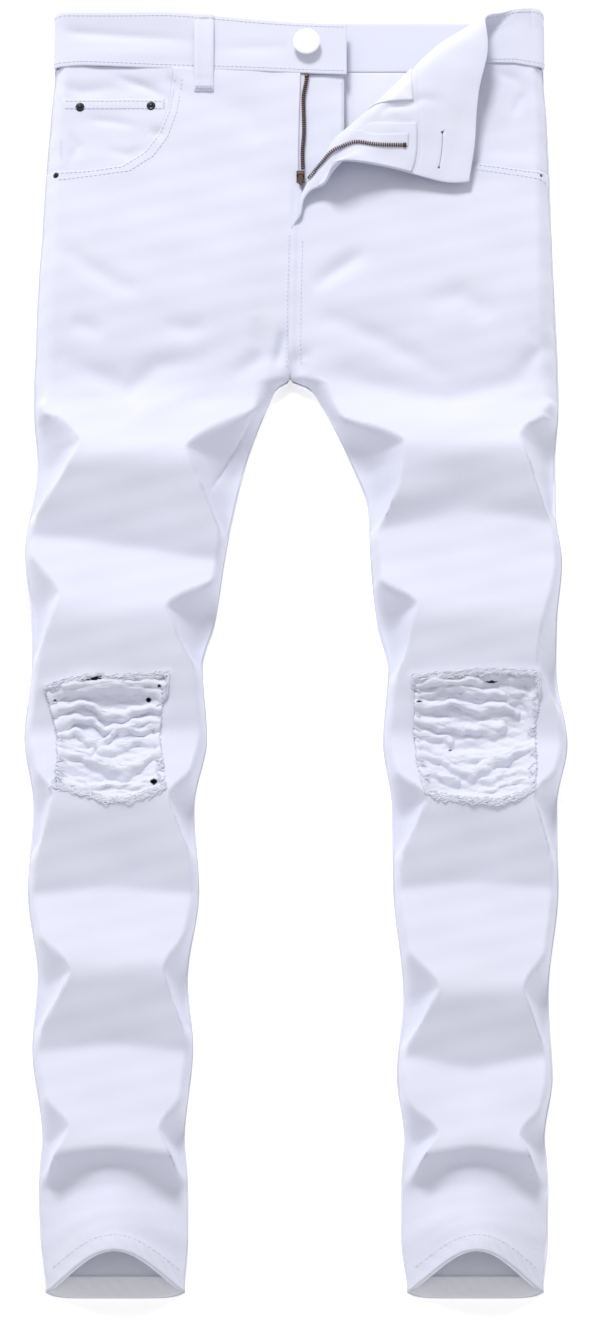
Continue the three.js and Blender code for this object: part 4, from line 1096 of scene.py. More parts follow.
@dataclass
class Stitching:
    """Topstitching: rows of separate stitches that lie on the cloth."""

    pitch: float = 3.4
    length: float = 2.5
    radius: float = 0.24
    runs: Repeats = field(default_factory=lambda: Repeats(Template.tube(4, 5)))

    def run(self, place: Place, line: Sequence[Sequence[float]], layer: float) -> None:
        """Sews one row.

        Args:
            place: Gives points on a layer of the cloth for places across and up.
            line: The row's corners in the pattern.
            layer: Height of the thread's middle over the cloth's middle.
        """
        nodes, _, reach = measured(line)
        starts = np.arange(self.pitch / 2, reach[-1] - self.length, self.pitch)
        shares = np.array([0.0, 0.33, 0.67, 1.0])
        for start in starts:
            at = start + shares * self.length
            x, y = np.interp(at, reach, nodes[:, 0]), np.interp(at, reach, nodes[:, 1])
            self.runs.add_thread(place(x, y, layer + STITCH_DIP), self.radius, 0.8)

    def finish(self) -> bpy.types.Object:
        """Joins every row into one piece."""
        return settle(self.runs.make("Topstitching", Finish.THREAD), Finish.THREAD)


# ------------------------------------------------------------------ the legs


@dataclass
class Legs:
    """Both fronts with their pocket mouths and knee rips, and the backs they lie on."""

    forms: dict[Side, FrontForm]
    stitching: Stitching
    cloth: float = 1.3
    columns: int = 104
    rows: int = 400

    def mouth(self, side: Side) -> list[tuple[float, float]]:
        """Outline that a pocket mouth takes out of a front."""
        beyond = side.value * 240
        return [*POCKET_MOUTH[side], (beyond, 385), (beyond, 480)]

    def frayed(self, side: Side) -> list[tuple[float, float]]:
        """The rip's outline with the small teeth of a worn edge."""
        rng = random.Random(11 + side.value)
        outline: list[tuple[float, float]] = []
        corners = RIP_OUTLINE[side]
        for (ax, ay), (bx, by) in zip(corners, (*corners[1:], corners[0])):
            steps = max(2, int(math.hypot(bx - ax, by - ay) / 3.2))
            for k in range(steps):
                t = k / steps
                worn = rng.uniform(-0.9, 0.9)
                outline.append((mix(ax, bx, t) + 0.5 * worn, mix(ay, by, t) + worn))
        return outline

    def edges(self, side: Side, y: Array) -> tuple[Array, Array]:
        """The front's lower and higher edge along X at each height."""
        form = self.forms[side]
        lap = 0.8 if side is Side.RIGHT else -1.2
        inner = np.where(y > CROTCH_Y, centre_seam(y) + lap, form.inseam(y))
        if side is Side.RIGHT:
            inner = np.where(y > FLY_FOOT[1] - 4, right_edge(y), inner)
            return form.outseam(y), inner
        inner = np.where(y > FLY_FOOT[1] - 4, fly_edge(y), inner)
        return inner, form.outseam(y)

    def front(self, side: Side) -> None:
        """A front panel."""
        form = self.forms[side]
        cut = Cut(self.columns, self.rows, 0.35)
        y = mix(HEM_Y, BACK_BAND_BOTTOM, cut.share[:, 1])
        low, high = self.edges(side, y)
        x = mix(low, high, cut.share[:, 0])
        cut.move(x, y + to_band(side, x, y))
        cut.cut_out(self.mouth(side), 2.2)
        cut.cut_out(self.frayed(side), 2.0)

        def shaped(px: Array, py: Array) -> Array:
            """The panel with its hemmed pocket mouth, roped hem and rolled rip."""
            mouth, _ = along_line(px, py, POCKET_MOUTH[side])
            rip, _ = along_line(px, py, rip_line(side))
            hem = py - HEM_Y
            folded = smooth(HEM_TURN + 3, HEM_TURN - 2, hem)
            roping = np.sin((px + 0.8 * py) * 0.62) * bump(hem, 8, 8) * 0.15
            welt = 0.22 * smooth(10.5, 7, mouth)
            roll = bump(rip, 0.5, 3.4) * mix(-0.8, 1.3, smooth(30, 40, np.abs(py - rip_middle(side))))
            from_centre = np.abs(px - centre_seam(py))
            joined = smooth(CROTCH_Y, CROTCH_Y + 8, py) * smooth(FLY_FOOT[1] + 12, FLY_FOOT[1], py)
            lapped = (1.0 * smooth(4.5, 1.5, from_centre) * joined) if side is Side.LEFT else 0.0
            if side is Side.RIGHT:
                lapped = -1.6 * smooth(-9, -4, px) * bump(py, 355, 15)
            return form.laid(px, py, welt + 0.3 * folded + roping + roll + lapped)

        piece = cut.lay(f"Front_{side.label}", shaped, self.cloth, Finish.DENIM)
        settle(piece, Finish.DENIM, [f"front_{side.label}"])
        self.sew_front(side)

    def sew_front(self, side: Side) -> None:
        """Topstitches the pocket mouth, the fly, the centre seam and the hem of a front."""
        form = self.forms[side]
        sign = side.value
        layer = self.cloth / 2 + 0.25
        mouth = POCKET_MOUTH[side]
        for inset in (2.2, 8.2):
            line = [(x - sign * inset * 0.9, min(y - inset * 0.55 if y < 430 else y, 462.0))
                    for x, y in mouth[:-1]]
            line.append((sign * 188, mouth[-1][1] - inset))
            self.stitching.run(form.laid, line, layer + 0.18)
        hem = np.linspace(-0.93, 0.93, 24)
        out, into = value_at(form.outseam, HEM_Y), value_at(form.inseam, HEM_Y)
        middle, half = (out + into) / 2, abs(out - into) / 2
        self.stitching.run(form.laid, [(middle + half * t, HEM_Y + HEM_TURN - 2) for t in hem],
                           layer + 0.12)
        for foot, aside in ((226, sign * 2.4), (228, 8))[:2 if side is Side.LEFT else 1]:
            seam = [(value_at(centre_seam, y) + aside, y) for y in range(foot, 336, 6)]
            self.stitching.run(form.laid, seam, layer)

    def back(self, side: Side) -> None:
        """A back panel, flat on the surface, its edges curled up beside the front's."""
        form = self.forms[side]
        sign = side.value
        cut = Cut(56, 260, 0.5)
        y = mix(BACK_HEM_Y, BACK_BAND_BOTTOM + 1.5, cut.share[:, 1])
        outer = form.outer(y)
        inner = np.where(y > CROTCH_Y, centre_seam(y) + sign * GAP / 2, form.inner(y))
        low, high = (outer, inner) if side is Side.RIGHT else (inner, outer)
        x = mix(low, high, cut.share[:, 0])
        corner = np.abs(2 * cut.share[:, 0] - 1) ** 7
        y = y + 4.0 * corner * smooth(BACK_HEM_Y + 20, BACK_HEM_Y, y)
        cut.move(x, y)

        def shaped(px: Array, py: Array) -> Array:
            """Flat, with both edges curled up and the cloth's slight unevenness."""
            from_outer = np.abs(px - form.outer(py))
            from_inner = np.where(py > CROTCH_Y, 90.0, np.abs(px - form.inner(py)))
            curl = 1.9 * smooth(5.5, 0.4, from_outer) + 1.3 * smooth(6, 0.4, from_inner)
            return np.stack([px, py, CLOTH / 2 + curl], axis=-1)

        piece = cut.lay(f"Back_{side.label}", shaped, self.cloth, Finish.INSIDE)
        settle(piece, Finish.INSIDE, [f"back_{side.label}"])

    def build(self) -> None:
        """Makes all four panels."""
        for side in Side:
            self.front(side)
            self.back(side)


# ------------------------------------------------------------------ knee rips


@dataclass
class KneeRip:
    """The worn weft left across a knee: sagging ropes of thread, fluff and a frayed edge."""

    form: FrontForm
    seed: int
    threads_per_mm: float = 0.9
    depth: float = 4.8
    ripples: tuple[tuple[float, float, float, float], ...] = (
        (0.34, 0.27, 0.85, 1.0), (0.28, -0.19, 1.15, 2.0), (0.14, 0.61, 1.7, 3.0),
        (0.25, 0.12, -0.7, 5.0), (0.10, -0.9, 2.1, 7.0))

    @property
    def side(self) -> Side:
        """The leg it is on."""
        return self.form.side

    def extent(self) -> tuple[float, float, float, float]:
        """The rip's least and greatest places across and up."""
        points = np.array(RIP_OUTLINE[self.side])
        (low_x, low_y), (high_x, high_y) = points.min(axis=0), points.max(axis=0)
        return low_x, high_x, low_y, high_y

    def relief(self, x: Array, y: Array) -> Array:
        """Height of the weft against the middle of the front's cloth."""
        *_, high_y = self.extent()
        from_edge, _ = along_line(x, y, rip_line(self.side))
        within = inside(x, y, RIP_OUTLINE[self.side])
        beside = smooth(40, 30, np.abs(y - rip_middle(self.side)))
        sunk = np.where(within, smooth(0, 11 + 6 * beside, from_edge), 0.0)
        rim = smooth(7, 0, from_edge)
        floor = -1.5 - (self.depth - 1.5) * sunk + mix(0.7, 1.35, beside) * rim
        floor = floor + 2.6 * bump(y, high_y - 7, 5)
        for (hx, hy), wide, tall, deep in RIP_HOLLOWS[self.side]:
            floor = floor - deep * np.exp(-((x - hx) / wide) ** 2 - ((y - hy) / tall) ** 2)
        rise = np.zeros(np.shape(x))
        for rope in ROPES[self.side]:
            wander = 1.1 * np.sin(x * 0.19 + rope.half * 7) + 0.6 * np.sin(x * 0.47 + rope.rise * 9)
            away, share = along_line(x, y + wander, rope.line)
            thin = rope.half * (0.82 + 0.25 * np.sin(11 * share + rope.half * 5))
            dome = np.clip(1 - (away / (1.12 * thin)) ** 2, 0, 1) ** 0.75
            rise = np.maximum(rise, 1.3 * rope.rise * dome)
        lumps = sum(size * np.sin(x * across + y * up + self.seed * turn)
                    for size, across, up, turn in self.ripples)
        level = floor + rise * (0.5 + 0.5 * sunk) + lumps * sunk
        return np.where(within, level, np.minimum(level, -1.7))

    def weft(self) -> None:
        """The thinned cloth just inside the front, with its ropes and small holes."""
        low_x, high_x, low_y, high_y = self.extent()
        cut = Cut(168, 156)
        x = mix(low_x - 4, high_x + 4, cut.share[:, 0])
        y = mix(low_y - 7, high_y + 7, cut.share[:, 1])
        cut.move(x, y)
        for middle, half, tall in RIP_HOLES[self.side]:
            cut.slit(middle, half, tall)
        piece = cut.lay(f"Knee_weft_{self.side.label}",
                        lambda px, py: self.form.laid(px, py, self.relief(px, py)), 0.7, Finish.WEFT)
        settle(piece, Finish.WEFT, [f"knee_weft_{self.side.label}"])
        f"Front_{self.side.label}"

    def along_ropes(self, yarns: Repeats, rng: random.Random) -> None:
        """Threads that lie along the ropes."""
        for rope in ROPES[self.side]:
            line, _, reach = measured(rope.line)
            for _ in range(int(rope.half * self.threads_per_mm * 2)):
                start = rng.uniform(0, 0.55) * reach[-1]
                end = min(reach[-1], start + rng.uniform(0.25, 0.6) * reach[-1])
                at = np.linspace(start, end, 14)
                aside = rng.uniform(-0.8, 0.8) * rope.half
                phase = rng.uniform(0, 6.3)
                x = np.interp(at, reach, line[:, 0])
                y = np.interp(at, reach, line[:, 1]) + aside + 0.5 * np.sin(at * 0.25 + phase)
                layer = self.relief(x, y) + 0.3 + 0.2 * np.sin(at * 0.4 + phase)
                if not inside(x, y, RIP_OUTLINE[self.side]).all():
                    continue
                yarns.add_thread(self.form.laid(x, y, layer), rng.uniform(0.22, 0.36))

    def fringe(self, yarns: Repeats, rng: random.Random) -> None:
        """A fluffy roll of warp ends along the upper and lower edges, and a few at the sides."""
        low_x, high_x, low_y, high_y = self.extent()
        closed, _, reach = measured(rip_line(self.side))
        t = np.linspace(0, 1, 10)
        for start in np.arange(0, reach[-1], 0.3):
            x, y = (float(np.interp(start, reach, closed[:, k])) for k in (0, 1))
            at_side = min(abs(y - low_y), abs(y - high_y)) > 13
            bare = any(abs(x - hx) < wide and abs(y - hy) < 4 for (hx, hy), wide, _ in RIP_HOLES[self.side])
            if bare or (at_side and rng.random() < 0.8):
                continue
            at = (start + rng.uniform(2, 9) * t) % reach[-1]
            phase, turn = rng.uniform(0, 6.3), rng.uniform(-1, 1)
            px = np.interp(at, reach, closed[:, 0]) + rng.uniform(-1.2, 1.2) + 0.9 * np.sin(7 * t + phase)
            py = np.interp(at, reach, closed[:, 1]) + rng.uniform(-1.7, 1.7)
            py = py + 0.9 * np.cos(6 * t + phase) + 1.8 * turn * t
            if at_side:
                px = x + (t - 0.2) * rng.uniform(3, 8) * np.sign((low_x + high_x) / 2 - x)
                py = y + rng.uniform(-2, 2) + 1.2 * np.sin(5 * t + phase)
            layer = (0.2 if at_side else 1.9) + rng.uniform(-0.2, 0.9) * np.sin(np.pi * t)
            yarns.add_thread(self.form.laid(px, py, layer), rng.uniform(0.3, 0.5))

    def yarn(self) -> None:
        """All the loose thread of the rip as one piece."""
        rng = random.Random(self.seed)
        yarns = Repeats(Template.tube(10, 4))
        self.along_ropes(yarns, rng)
        self.fringe(yarns, rng)
        settle(yarns.make(f"Loose_yarn_{self.side.label}", Finish.YARN), Finish.YARN)

    def build(self) -> None:
        """Makes the weft and its yarn."""
        self.weft()
        self.yarn()


# ------------------------------------------------------------------ hems


@dataclass
class HemTurns:
    """The turned-up hem inside each leg: one strip on the back, one in the raised front."""

    forms: dict[Side, FrontForm]

    def on_back(self, side: Side) -> None:
        """The strip that lies on the back panel."""
        form = self.forms[side]
        cut = Cut(40, 10)
        low, high = sorted((value_at(form.outer, HEM_Y), value_at(form.inner, HEM_Y)))
        x = mix(low + 3, high - 3, cut.share[:, 0])
        corner = np.abs(2 * cut.share[:, 0] - 1) ** 7
        y = mix(BACK_HEM_Y + 0.4, BACK_HEM_Y + HEM_TURN, cut.share[:, 1]) + 4 * corner * (
            1 - cut.share[:, 1])
        cut.move(x, y)

        def shaped(px: Array, py: Array) -> Array:
            """Flat on the back, with faint roping."""
            roping = 0.2 * np.sin((px + py) * 0.6)
            return np.stack([px, py, CLOTH + GAP + LIGHT_CLOTH / 2 + 0.25 + roping], axis=-1)

        # Laid in the whiter pocket cotton: painted light that brightens the strip where the raised hem shades
        # it.
        piece = cut.lay(f"Hem_turn_back_{side.label}", shaped, LIGHT_CLOTH, Finish.BAG, 0.3)
        settle(piece, Finish.INSIDE, [f"hem_turn_back_{side.label}"])

    def in_front(self, side: Side) -> None:
        """The strip inside the raised front."""
        form = self.forms[side]
        cut = Cut(44, 10)
        y = mix(HEM_Y + 0.3, HEM_Y + HEM_TURN, cut.share[:, 1])
        low, high = sorted((value_at(form.outseam, HEM_Y), value_at(form.inseam, HEM_Y)))
        cut.move(mix(low + 3, high - 3, cut.share[:, 0]), y)
        layer = -(CLOTH / 2 + LIGHT_CLOTH / 2 + 0.15)
        # Laid in the whiter pocket cotton: painted light that brightens the strip in the shade under the
        # raised hem.
        piece = cut.lay(f"Hem_turn_front_{side.label}",
                        lambda px, py: form.laid(px, py, layer), LIGHT_CLOTH, Finish.BAG)
        settle(piece, Finish.INSIDE, [f"hem_turn_front_{side.label}"])

    def build(self) -> None:
        """Makes all four strips."""
        for side in Side:
            self.on_back(side)
            self.in_front(side)


# ------------------------------------------------------------------ pockets


@dataclass
class Pockets:
    """The facings that show in the mouths, the coin pocket and the left pocket's bag."""

    forms: dict[Side, FrontForm]
    stitching: Stitching
    facing_foot: float = 372.0
    facing_inner: tuple[float, float] = (90.0, 112.0)
    coin: tuple[float, float, float, float] = (-184.0, -104.0, 381.0, 444.0)
    bag_edge: float = 48.5
    bag_foot: float = 350.0

    def facing(self, side: Side) -> None:
        """A facing: flush at the side seam, and running in under the front."""
        form = self.forms[side]
        sign = side.value
        inner = sign * self.facing_inner[0 if side is Side.RIGHT else 1]
        cut = Cut(46, 46)
        y = mix(self.facing_foot, BACK_BAND_BOTTOM, cut.share[:, 1])
        outer = form.outseam(y)
        x = mix(outer, inner, cut.share[:, 0]) if sign < 0 else mix(inner, outer, cut.share[:, 0])
        cut.move(x, y + to_band(side, x, y))

        def shaped(px: Array, py: Array) -> Array:
            """The front's form, sinking in from the side seam and below the mouth."""
            inwards = smooth(0, 16, np.abs(px - form.outseam(py)))
            below = smooth(388, 378, py)
            mouth, _ = along_line(px, py, POCKET_MOUTH[side])
            sunk = (1.55 + 1.35 * smooth(3, 15, mouth)) * mix(1.0, 0.45, smooth(452, 464, py))
            return form.laid(px, py, -np.maximum(sunk * inwards, 2.6 * below))

        piece = cut.lay(f"Pocket_facing_{side.label}", shaped, 1.2, Finish.DENIM)
        settle(piece, Finish.DENIM, [f"pocket_facing_{side.label}"])

    def coin_pocket(self) -> None:
        """The coin pocket, sewn on the right facing."""
        form = self.forms[Side.RIGHT]
        left, right, low, high = self.coin
        cut = Cut(32, 30)
        cut.move(mix(left, right, cut.share[:, 0]), mix(low, high, cut.share[:, 1]))

        def shaped(px: Array, py: Array) -> Array:
            """Lies on the facing; its hemmed mouth stands a little proud."""
            hem = 0.5 * smooth(high - 9, high - 7.5, py)
            return form.laid(px, py, COIN_LAYER + hem)

        piece = cut.lay("Coin_pocket", shaped, LIGHT_CLOTH, Finish.DENIM)
        settle(piece, Finish.DENIM, ["coin_pocket"])
        for y in (high - 2.2, high - 8.2):
            self.stitching.run(form.laid, [(left + 2, y), (right - 2, y)], COIN_LAYER + 0.5 + 0.7)

    def bag(self) -> None:
        """The left pocket's bag inside the front, which shows where the fold turns over."""
        form = self.forms[Side.LEFT]
        cut = Cut(60, 70)
        y = mix(self.bag_foot, 469.5, cut.share[:, 1])
        high = np.minimum(form.outseam(y) - 14, np.where(y > 378, 128, 168))
        cut.move(mix(self.bag_edge, high, cut.share[:, 0]), y)
        piece = cut.lay("Pocket_bag_left", lambda px, py: form.laid(px, py, -1.15), 0.5, Finish.INSIDE)
        settle(piece, Finish.BAG, ["pocket_bag_left"])

    def build(self) -> None:
        """Makes the pockets' pieces."""
        for side in Side:
            self.facing(side)
        self.coin_pocket()
        self.bag()


# ------------------------------------------------------------------ waistband


@dataclass
class Waistband:
    """The band, one strip from the button's end round the back to the folded corner."""

    forms: dict[Side, FoldedForm | FrontForm]
    stitching: Stitching
    cloth: float = 1.9
    rows: int = 16
    turn_steps: int = 10
    hole_inset: float = 17.5

    def turn(self, side: Side) -> list[tuple[float, float, float]]:
        """Places round a side, front to back: across, height and the share on the back."""
        form = self.forms[side]
        outer, top, reach = (value_at(curve, WAIST_Y) for curve in (form.outer, form.top, form.outer_ramp))
        bottom = BAND_CLOTH / 2
        places = []
        for degrees in np.linspace(90, -90, self.turn_steps):
            angle = math.radians(degrees)
            places.append((outer - side.value * reach * (1 - math.cos(angle)),
                           mix(bottom, top, (1 + math.sin(angle)) / 2), (1 - math.sin(angle)) / 2))
        return places

    def columns(self) -> list[Callable[[Array], Array]]:
        """What gives the points up each column of the strip, for shares of its height."""
        right, left = self.forms[Side.RIGHT], self.forms[Side.LEFT]

        def front(x: float) -> Callable[[Array], Array]:
            """A column on the right front."""
            def column(share: Array) -> Array:
                across = x + 0 * share
                y = mix(band_bottom(Side.RIGHT, across), band_top(Side.RIGHT, across), share)
                z = right.height(across, np.full_like(share, BACK_BAND_BOTTOM))
                flare = 2.2 * smooth(0.62, 1.0, share) * smooth(-60, -110, across)
                return np.stack([across, y, z + flare + self.wave(across, y)], axis=-1)
            return column

        def turned(side: Side, x: float, z: float, on_back: float) -> Callable[[Array], Array]:
            """A column where the band turns at a side."""
            def column(share: Array) -> Array:
                across = x + 0 * share
                low = mix(band_bottom(side, across), BACK_BAND_BOTTOM, on_back)
                high = mix(band_top(side, across), BACK_BAND_BOTTOM + BAND_HEIGHT, on_back)
                flare = 2.2 * smooth(0.62, 1.0, share) * (1 - on_back) ** 2
                if side is Side.LEFT:
                    high = high + HUMP[1] * (1 - on_back)
                return np.stack([across, mix(low, high, share), z + flare + 0 * share], axis=-1)
            return column

        def back(x: float) -> Callable[[Array], Array]:
            """A column on the back."""
            def column(share: Array) -> Array:
                y = BACK_BAND_BOTTOM + BAND_HEIGHT * share
                return np.stack([x + 0 * share, y, BAND_CLOTH / 2 + 0 * share], axis=-1)
            return column

        def folded(place: Callable[[Array], Array]) -> Callable[[Array], Array]:
            """A column on the left front, through the fold."""
            def column(share: Array) -> Array:
                y = mix(LEFT_BAND_BOTTOM, LEFT_BAND_TOP, share)
                return left.laid(place(y), y) + np.outer(share * smooth(148, 172, place(y)), HUMP)
            return column

        made = [front(x) for x in np.linspace(36, -174, 72)]
        made += [turned(Side.RIGHT, *spot) for spot in self.turn(Side.RIGHT)]
        made += [back(x) for x in np.linspace(-172, 172, 60)]
        made += [turned(Side.LEFT, *spot) for spot in reversed(self.turn(Side.LEFT))]
        start = value_at(left.outer, WAIST_Y) - value_at(left.outer_ramp, WAIST_Y)
        for t in np.linspace(0.2, 0.9, 6):
            made.append(folded(lambda y, t=t: mix(start, left.crossing(y, 0), t)))
        for share in np.linspace(0, 1, 15):
            made.append(folded(lambda y, share=share: left.crossing(y, share)))
        for t in np.linspace(0.04, 1, 40):
            made.append(folded(lambda y, t=t: mix(left.crossing(y, 1), FLY_EDGE, t)))
        return made

    @staticmethod
    def wave(x: Array, y: Array) -> Array:
        """The band's slight unevenness on the front."""
        return (0.6 * np.sin(x * 0.055 + 0.6) * np.sin(y * 0.09)
                - 1.9 * bump(y, 498 - 0.07 * (x + 180), 3.2) * smooth(-60, -130, x)
                - 1.2 * bump(y, 486 + 0.03 * x, 4.5) * bump(x, -35, 26)
                + 0.9 * bump(y, 480, 5) * bump(x, -120, 40))

    def band(self) -> None:
        """The band itself, with its buttonhole."""
        columns = self.columns()
        cut = Cut(len(columns) - 1, self.rows)
        share = np.linspace(0, 1, self.rows + 1)
        grid = np.stack([column(share) for column in columns])
        reach = reach_of(grid[:, 0])
        last = len(columns) - 1
        cut.move(np.interp(cut.share[:, 0] * last, np.arange(last + 1), reach),
                 cut.share[:, 1] * BAND_HEIGHT)
        hole = reach[-1] - self.hole_inset
        row = BAND_HEIGHT / self.rows
        level = row * 6.5
        gone = [face for face, c in zip(cut.mesh.faces, cut.centres())
                if abs(c[0] - hole) < 10 and abs(c[1] - level) < row / 2]
        bmesh.ops.delete(cut.mesh, geom=gone, context="FACES")
        for vertex in cut.mesh.verts:
            aside = vertex.co.y - level
            if abs(vertex.co.x - hole) < 9.4 and abs(abs(aside) - row / 2) < 0.1:
                vertex.co.y = level + math.copysign(0.14, aside)

        def shaped(px: Array, py: Array) -> Array:
            """The strip's points."""
            column = np.interp(px, reach, np.arange(last + 1))
            points, _, _ = on_grid(grid, column, np.clip(py / BAND_HEIGHT * self.rows, 0, self.rows))
            return points

        piece = cut.lay("Waistband", shaped, self.cloth, Finish.DENIM, 0.5)
        settle(piece, Finish.DENIM, ["waistband"])
        self.sew(grid)

    def sew(self, grid: Array) -> None:
        """Topstitches both long edges on the outside of the band."""

        def on_band(x: Array, y: Array, layer: Array) -> Array:
            """Points over the outside of the strip, by column and share."""
            points, i, j = on_grid(grid, x, y * self.rows)
            normal = np.cross(grid[i + 1, j] - grid[i, j], grid[i, j + 1] - grid[i, j])
            normal /= np.maximum(np.linalg.norm(normal, axis=1, keepdims=True), 1e-9)
            return points - normal * np.asarray(layer)[:, None]

        reach = reach_of(grid[:, 0])
        for share in (0.07, 0.93):
            at = np.interp(np.arange(2, reach[-1] - 3, self.stitching.pitch), reach, np.arange(len(grid)))
            for start, end in zip(at, at[1:]):
                t = np.array([0.0, 0.26, 0.52, 0.78])
                path = on_band(mix(start, end, t), np.full(4, share), self.cloth / 2 + 0.2 + STITCH_DIP)
                self.stitching.runs.add_thread(path, self.stitching.radius, 0.8)

    def loop(self) -> None:
        """The front belt loop, sewn over the band's seam and top."""
        form = self.forms[Side.RIGHT]
        under = Curve(((449, 0.75), (458, 0.9), (464, 1.9), (476, 2.9), (490, 3.2), (503, 2.4), (511, 1.4)))
        cut = Cut(14, 50)
        x, y = mix(-81.5, -66.5, cut.share[:, 0]), mix(449.5, 512.3, cut.share[:, 1])
        cut.move(x, y)

        def shaped(px: Array, py: Array) -> Array:
            """Over the band, with a soft ridge down each side and a crowned middle."""
            z = form.height(px, np.minimum(py, BACK_BAND_BOTTOM)) + form.rumple(px, py) * smooth(470, 455, py)
            side = np.abs(px + 74) / 7.5
            crown = 0.35 * bump(side, 0.62, 0.16) - 0.5 * smooth(0.8, 1.0, side)
            return np.stack([px, py, z + under(py) + 0.55 + crown], axis=-1)

        piece = cut.lay("Belt_loop", shaped, 1.4, Finish.DENIM, 0.4)
        settle(piece, Finish.DENIM, ["belt_loop"])
        tack = Repeats(Template.tube(4, 5))
        for y in (451.5, 453.0, 509.0):
            for x in np.arange(-80.6, -67.2, 1.1):
                z = float(form.height(np.array([x]), np.array([min(y, BACK_BAND_BOTTOM)]))[0])
                z += value_at(under, y) + 1.35
                path = np.array([[x, y - 1.0, z], [x + 0.3, y, z + 0.3], [x + 0.6, y + 1.0, z]])
                tack.add_thread(path, 0.36, 0.8)
        settle(tack.make("Belt_loop_tacks", Finish.THREAD), Finish.THREAD)

    def build(self) -> None:
        """Makes the band and its loop."""
        self.band()
        self.loop()


# ------------------------------------------------------------------ fly and zip


@dataclass
class Fly:
    """The fly shield, the facing on the flap, the zip's tapes and its rows of teeth."""

    forms: dict[Side, FrontForm]
    stitching: Stitching
    zip_foot: float = 380.0
    zip_top: float = 463.0
    tooth_pitch: float = 1.7
    right_chain: Curve = field(default_factory=lambda: Curve(
        ((380, 2.4), (398, 1.9), (418, 3.1), (443, 2.6), (463, 5.2))))
    left_chain: Curve = field(default_factory=lambda: Curve(
        ((378, 4), (392, 8), (410, 13), (424, 14), (445, 9), (466, 11))))

    def strip(self, name: str, side: Side, low: float, high: float, edges: tuple[Place, Place],
              layer: float, thickness: float, finish: Finish, columns: int = 14) -> bpy.types.Object:
        """A strip of cloth on a layer of a front, between two edges."""
        form = self.forms[side]
        cut = Cut(columns, 46)
        y = mix(low, high, cut.share[:, 1])
        cut.move(mix(edges[0](y), edges[1](y), cut.share[:, 0]), y)
        return cut.lay(name, lambda px, py: form.laid(px, py, layer), thickness, finish)

    def shield(self) -> None:
        """The fly shield, behind the zip on the right front."""
        width = Curve(((332, 6), (348, 14), (372, 30), (400, 34), (470, 34)))
        piece = self.strip("Fly_shield", Side.RIGHT, 332, 466, (lambda y: -14 + 0 * y, width),
                           SHIELD_LAYER, 1.4, Finish.DENIM, 20)
        settle(piece, Finish.DENIM, ["fly_shield"])
        line = [(value_at(width, y) - 2.0, y) for y in np.linspace(356, 460, 16)]
        self.stitching.run(self.forms[Side.RIGHT].laid, line, SHIELD_LAYER + 0.7 + 0.3)

    def facing(self) -> None:
        """The facing that backs the zip on the flap."""
        form = self.forms[Side.LEFT]

        def inner(y: Array) -> Array:
            """The facing's inner edge: it stays on the flap, past the fold."""
            return np.minimum(fly_edge(y) + 44, np.maximum(form.crossing(y, 1) - 2, fly_edge(y) + 3))

        piece = self.strip("Fly_facing", Side.LEFT, 384, 471, (lambda y: fly_edge(y) + 0.6, inner),
                           -0.95, 0.45, Finish.DENIM, 22)
        settle(piece, Finish.DENIM, ["fly_facing"])

    def tapes(self) -> None:
        """Both tapes."""
        right = self.strip(
            "Zip_tape_right", Side.RIGHT, self.zip_foot - 1, self.zip_top + 2,
            (lambda y: -9 + 0 * y, lambda y: self.right_chain(y) + 1.3), -1.5, 0.7, Finish.DENIM, 8)
        left = self.strip(
            "Zip_tape_left", Side.LEFT, self.zip_foot + 6, self.zip_top + 2,
            (lambda y: self.left_chain(y) - 1.3, lambda y: self.left_chain(y) + 11), -1.3, 0.35,
            Finish.DENIM, 8)
        settle(right, Finish.BAG, ["zip_tape_right"])
        settle(left, Finish.DENIM, ["zip_tape_left"])

    def teeth(self, side: Side, chain: Curve, low: float, layer: float) -> None:
        """A row of separate teeth along the edge of a tape, with its top stop."""
        form = self.forms[side]
        block = Repeats(Template.block())
        heights = np.linspace(low, self.zip_top, 200)
        reach = reach_of(form.laid(chain(heights), heights, layer))

        def stand(y: Array) -> tuple[Array, Array, Array]:
            """A tooth's centre, the way along the row and the way out of the cloth."""
            centre = form.laid(chain(y), y, layer)[0]
            ahead = form.laid(chain(y + 1), y + 1, layer)[0] - centre
            return centre, ahead / np.linalg.norm(ahead), form.outward(chain(y), y)[0]

        for at in np.arange(0.8, reach[-1], self.tooth_pitch):
            centre, ahead, out = stand(np.array([np.interp(at, reach, heights)]))
            across = np.cross(ahead, out)
            across /= np.linalg.norm(across)
            block.add_frame(centre, np.stack([across, ahead, out]), (3.0, 1.05, 1.5))
        centre, ahead, out = stand(np.array([self.zip_top - 0.5]))
        block.add_frame(centre, np.stack([np.cross(ahead, out), ahead, out]), (3.4, 2.6, 2.0))
        settle(block.make(f"Zip_teeth_{side.label}", Finish.ZIP_METAL), Finish.ZIP_METAL,
               [f"zip_teeth_{side.label}"])

    def build(self) -> None:
        """Makes the fly's pieces."""
        self.shield()
        self.facing()
        self.tapes()
        self.teeth(Side.RIGHT, self.right_chain, self.zip_foot + 6, -0.1)
        self.teeth(Side.LEFT, self.left_chain, self.zip_foot - 2, -2.2)
        for node in ("zip_slider", "pull_tab"):
            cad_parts[node].data.materials.clear()
            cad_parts[node].data.materials.append(Finish.ZIP_METAL.material())


# ------------------------------------------------------------------ metal and button


def own_frame(box: Sequence[Sequence[float]]) -> tuple[Array, Array]:
    """A box's lowest and highest corner, in the pattern's own frame."""
    low, high = (np.array(corner) / MM - ORIGIN_SHIFT for corner in box)
    return low, high


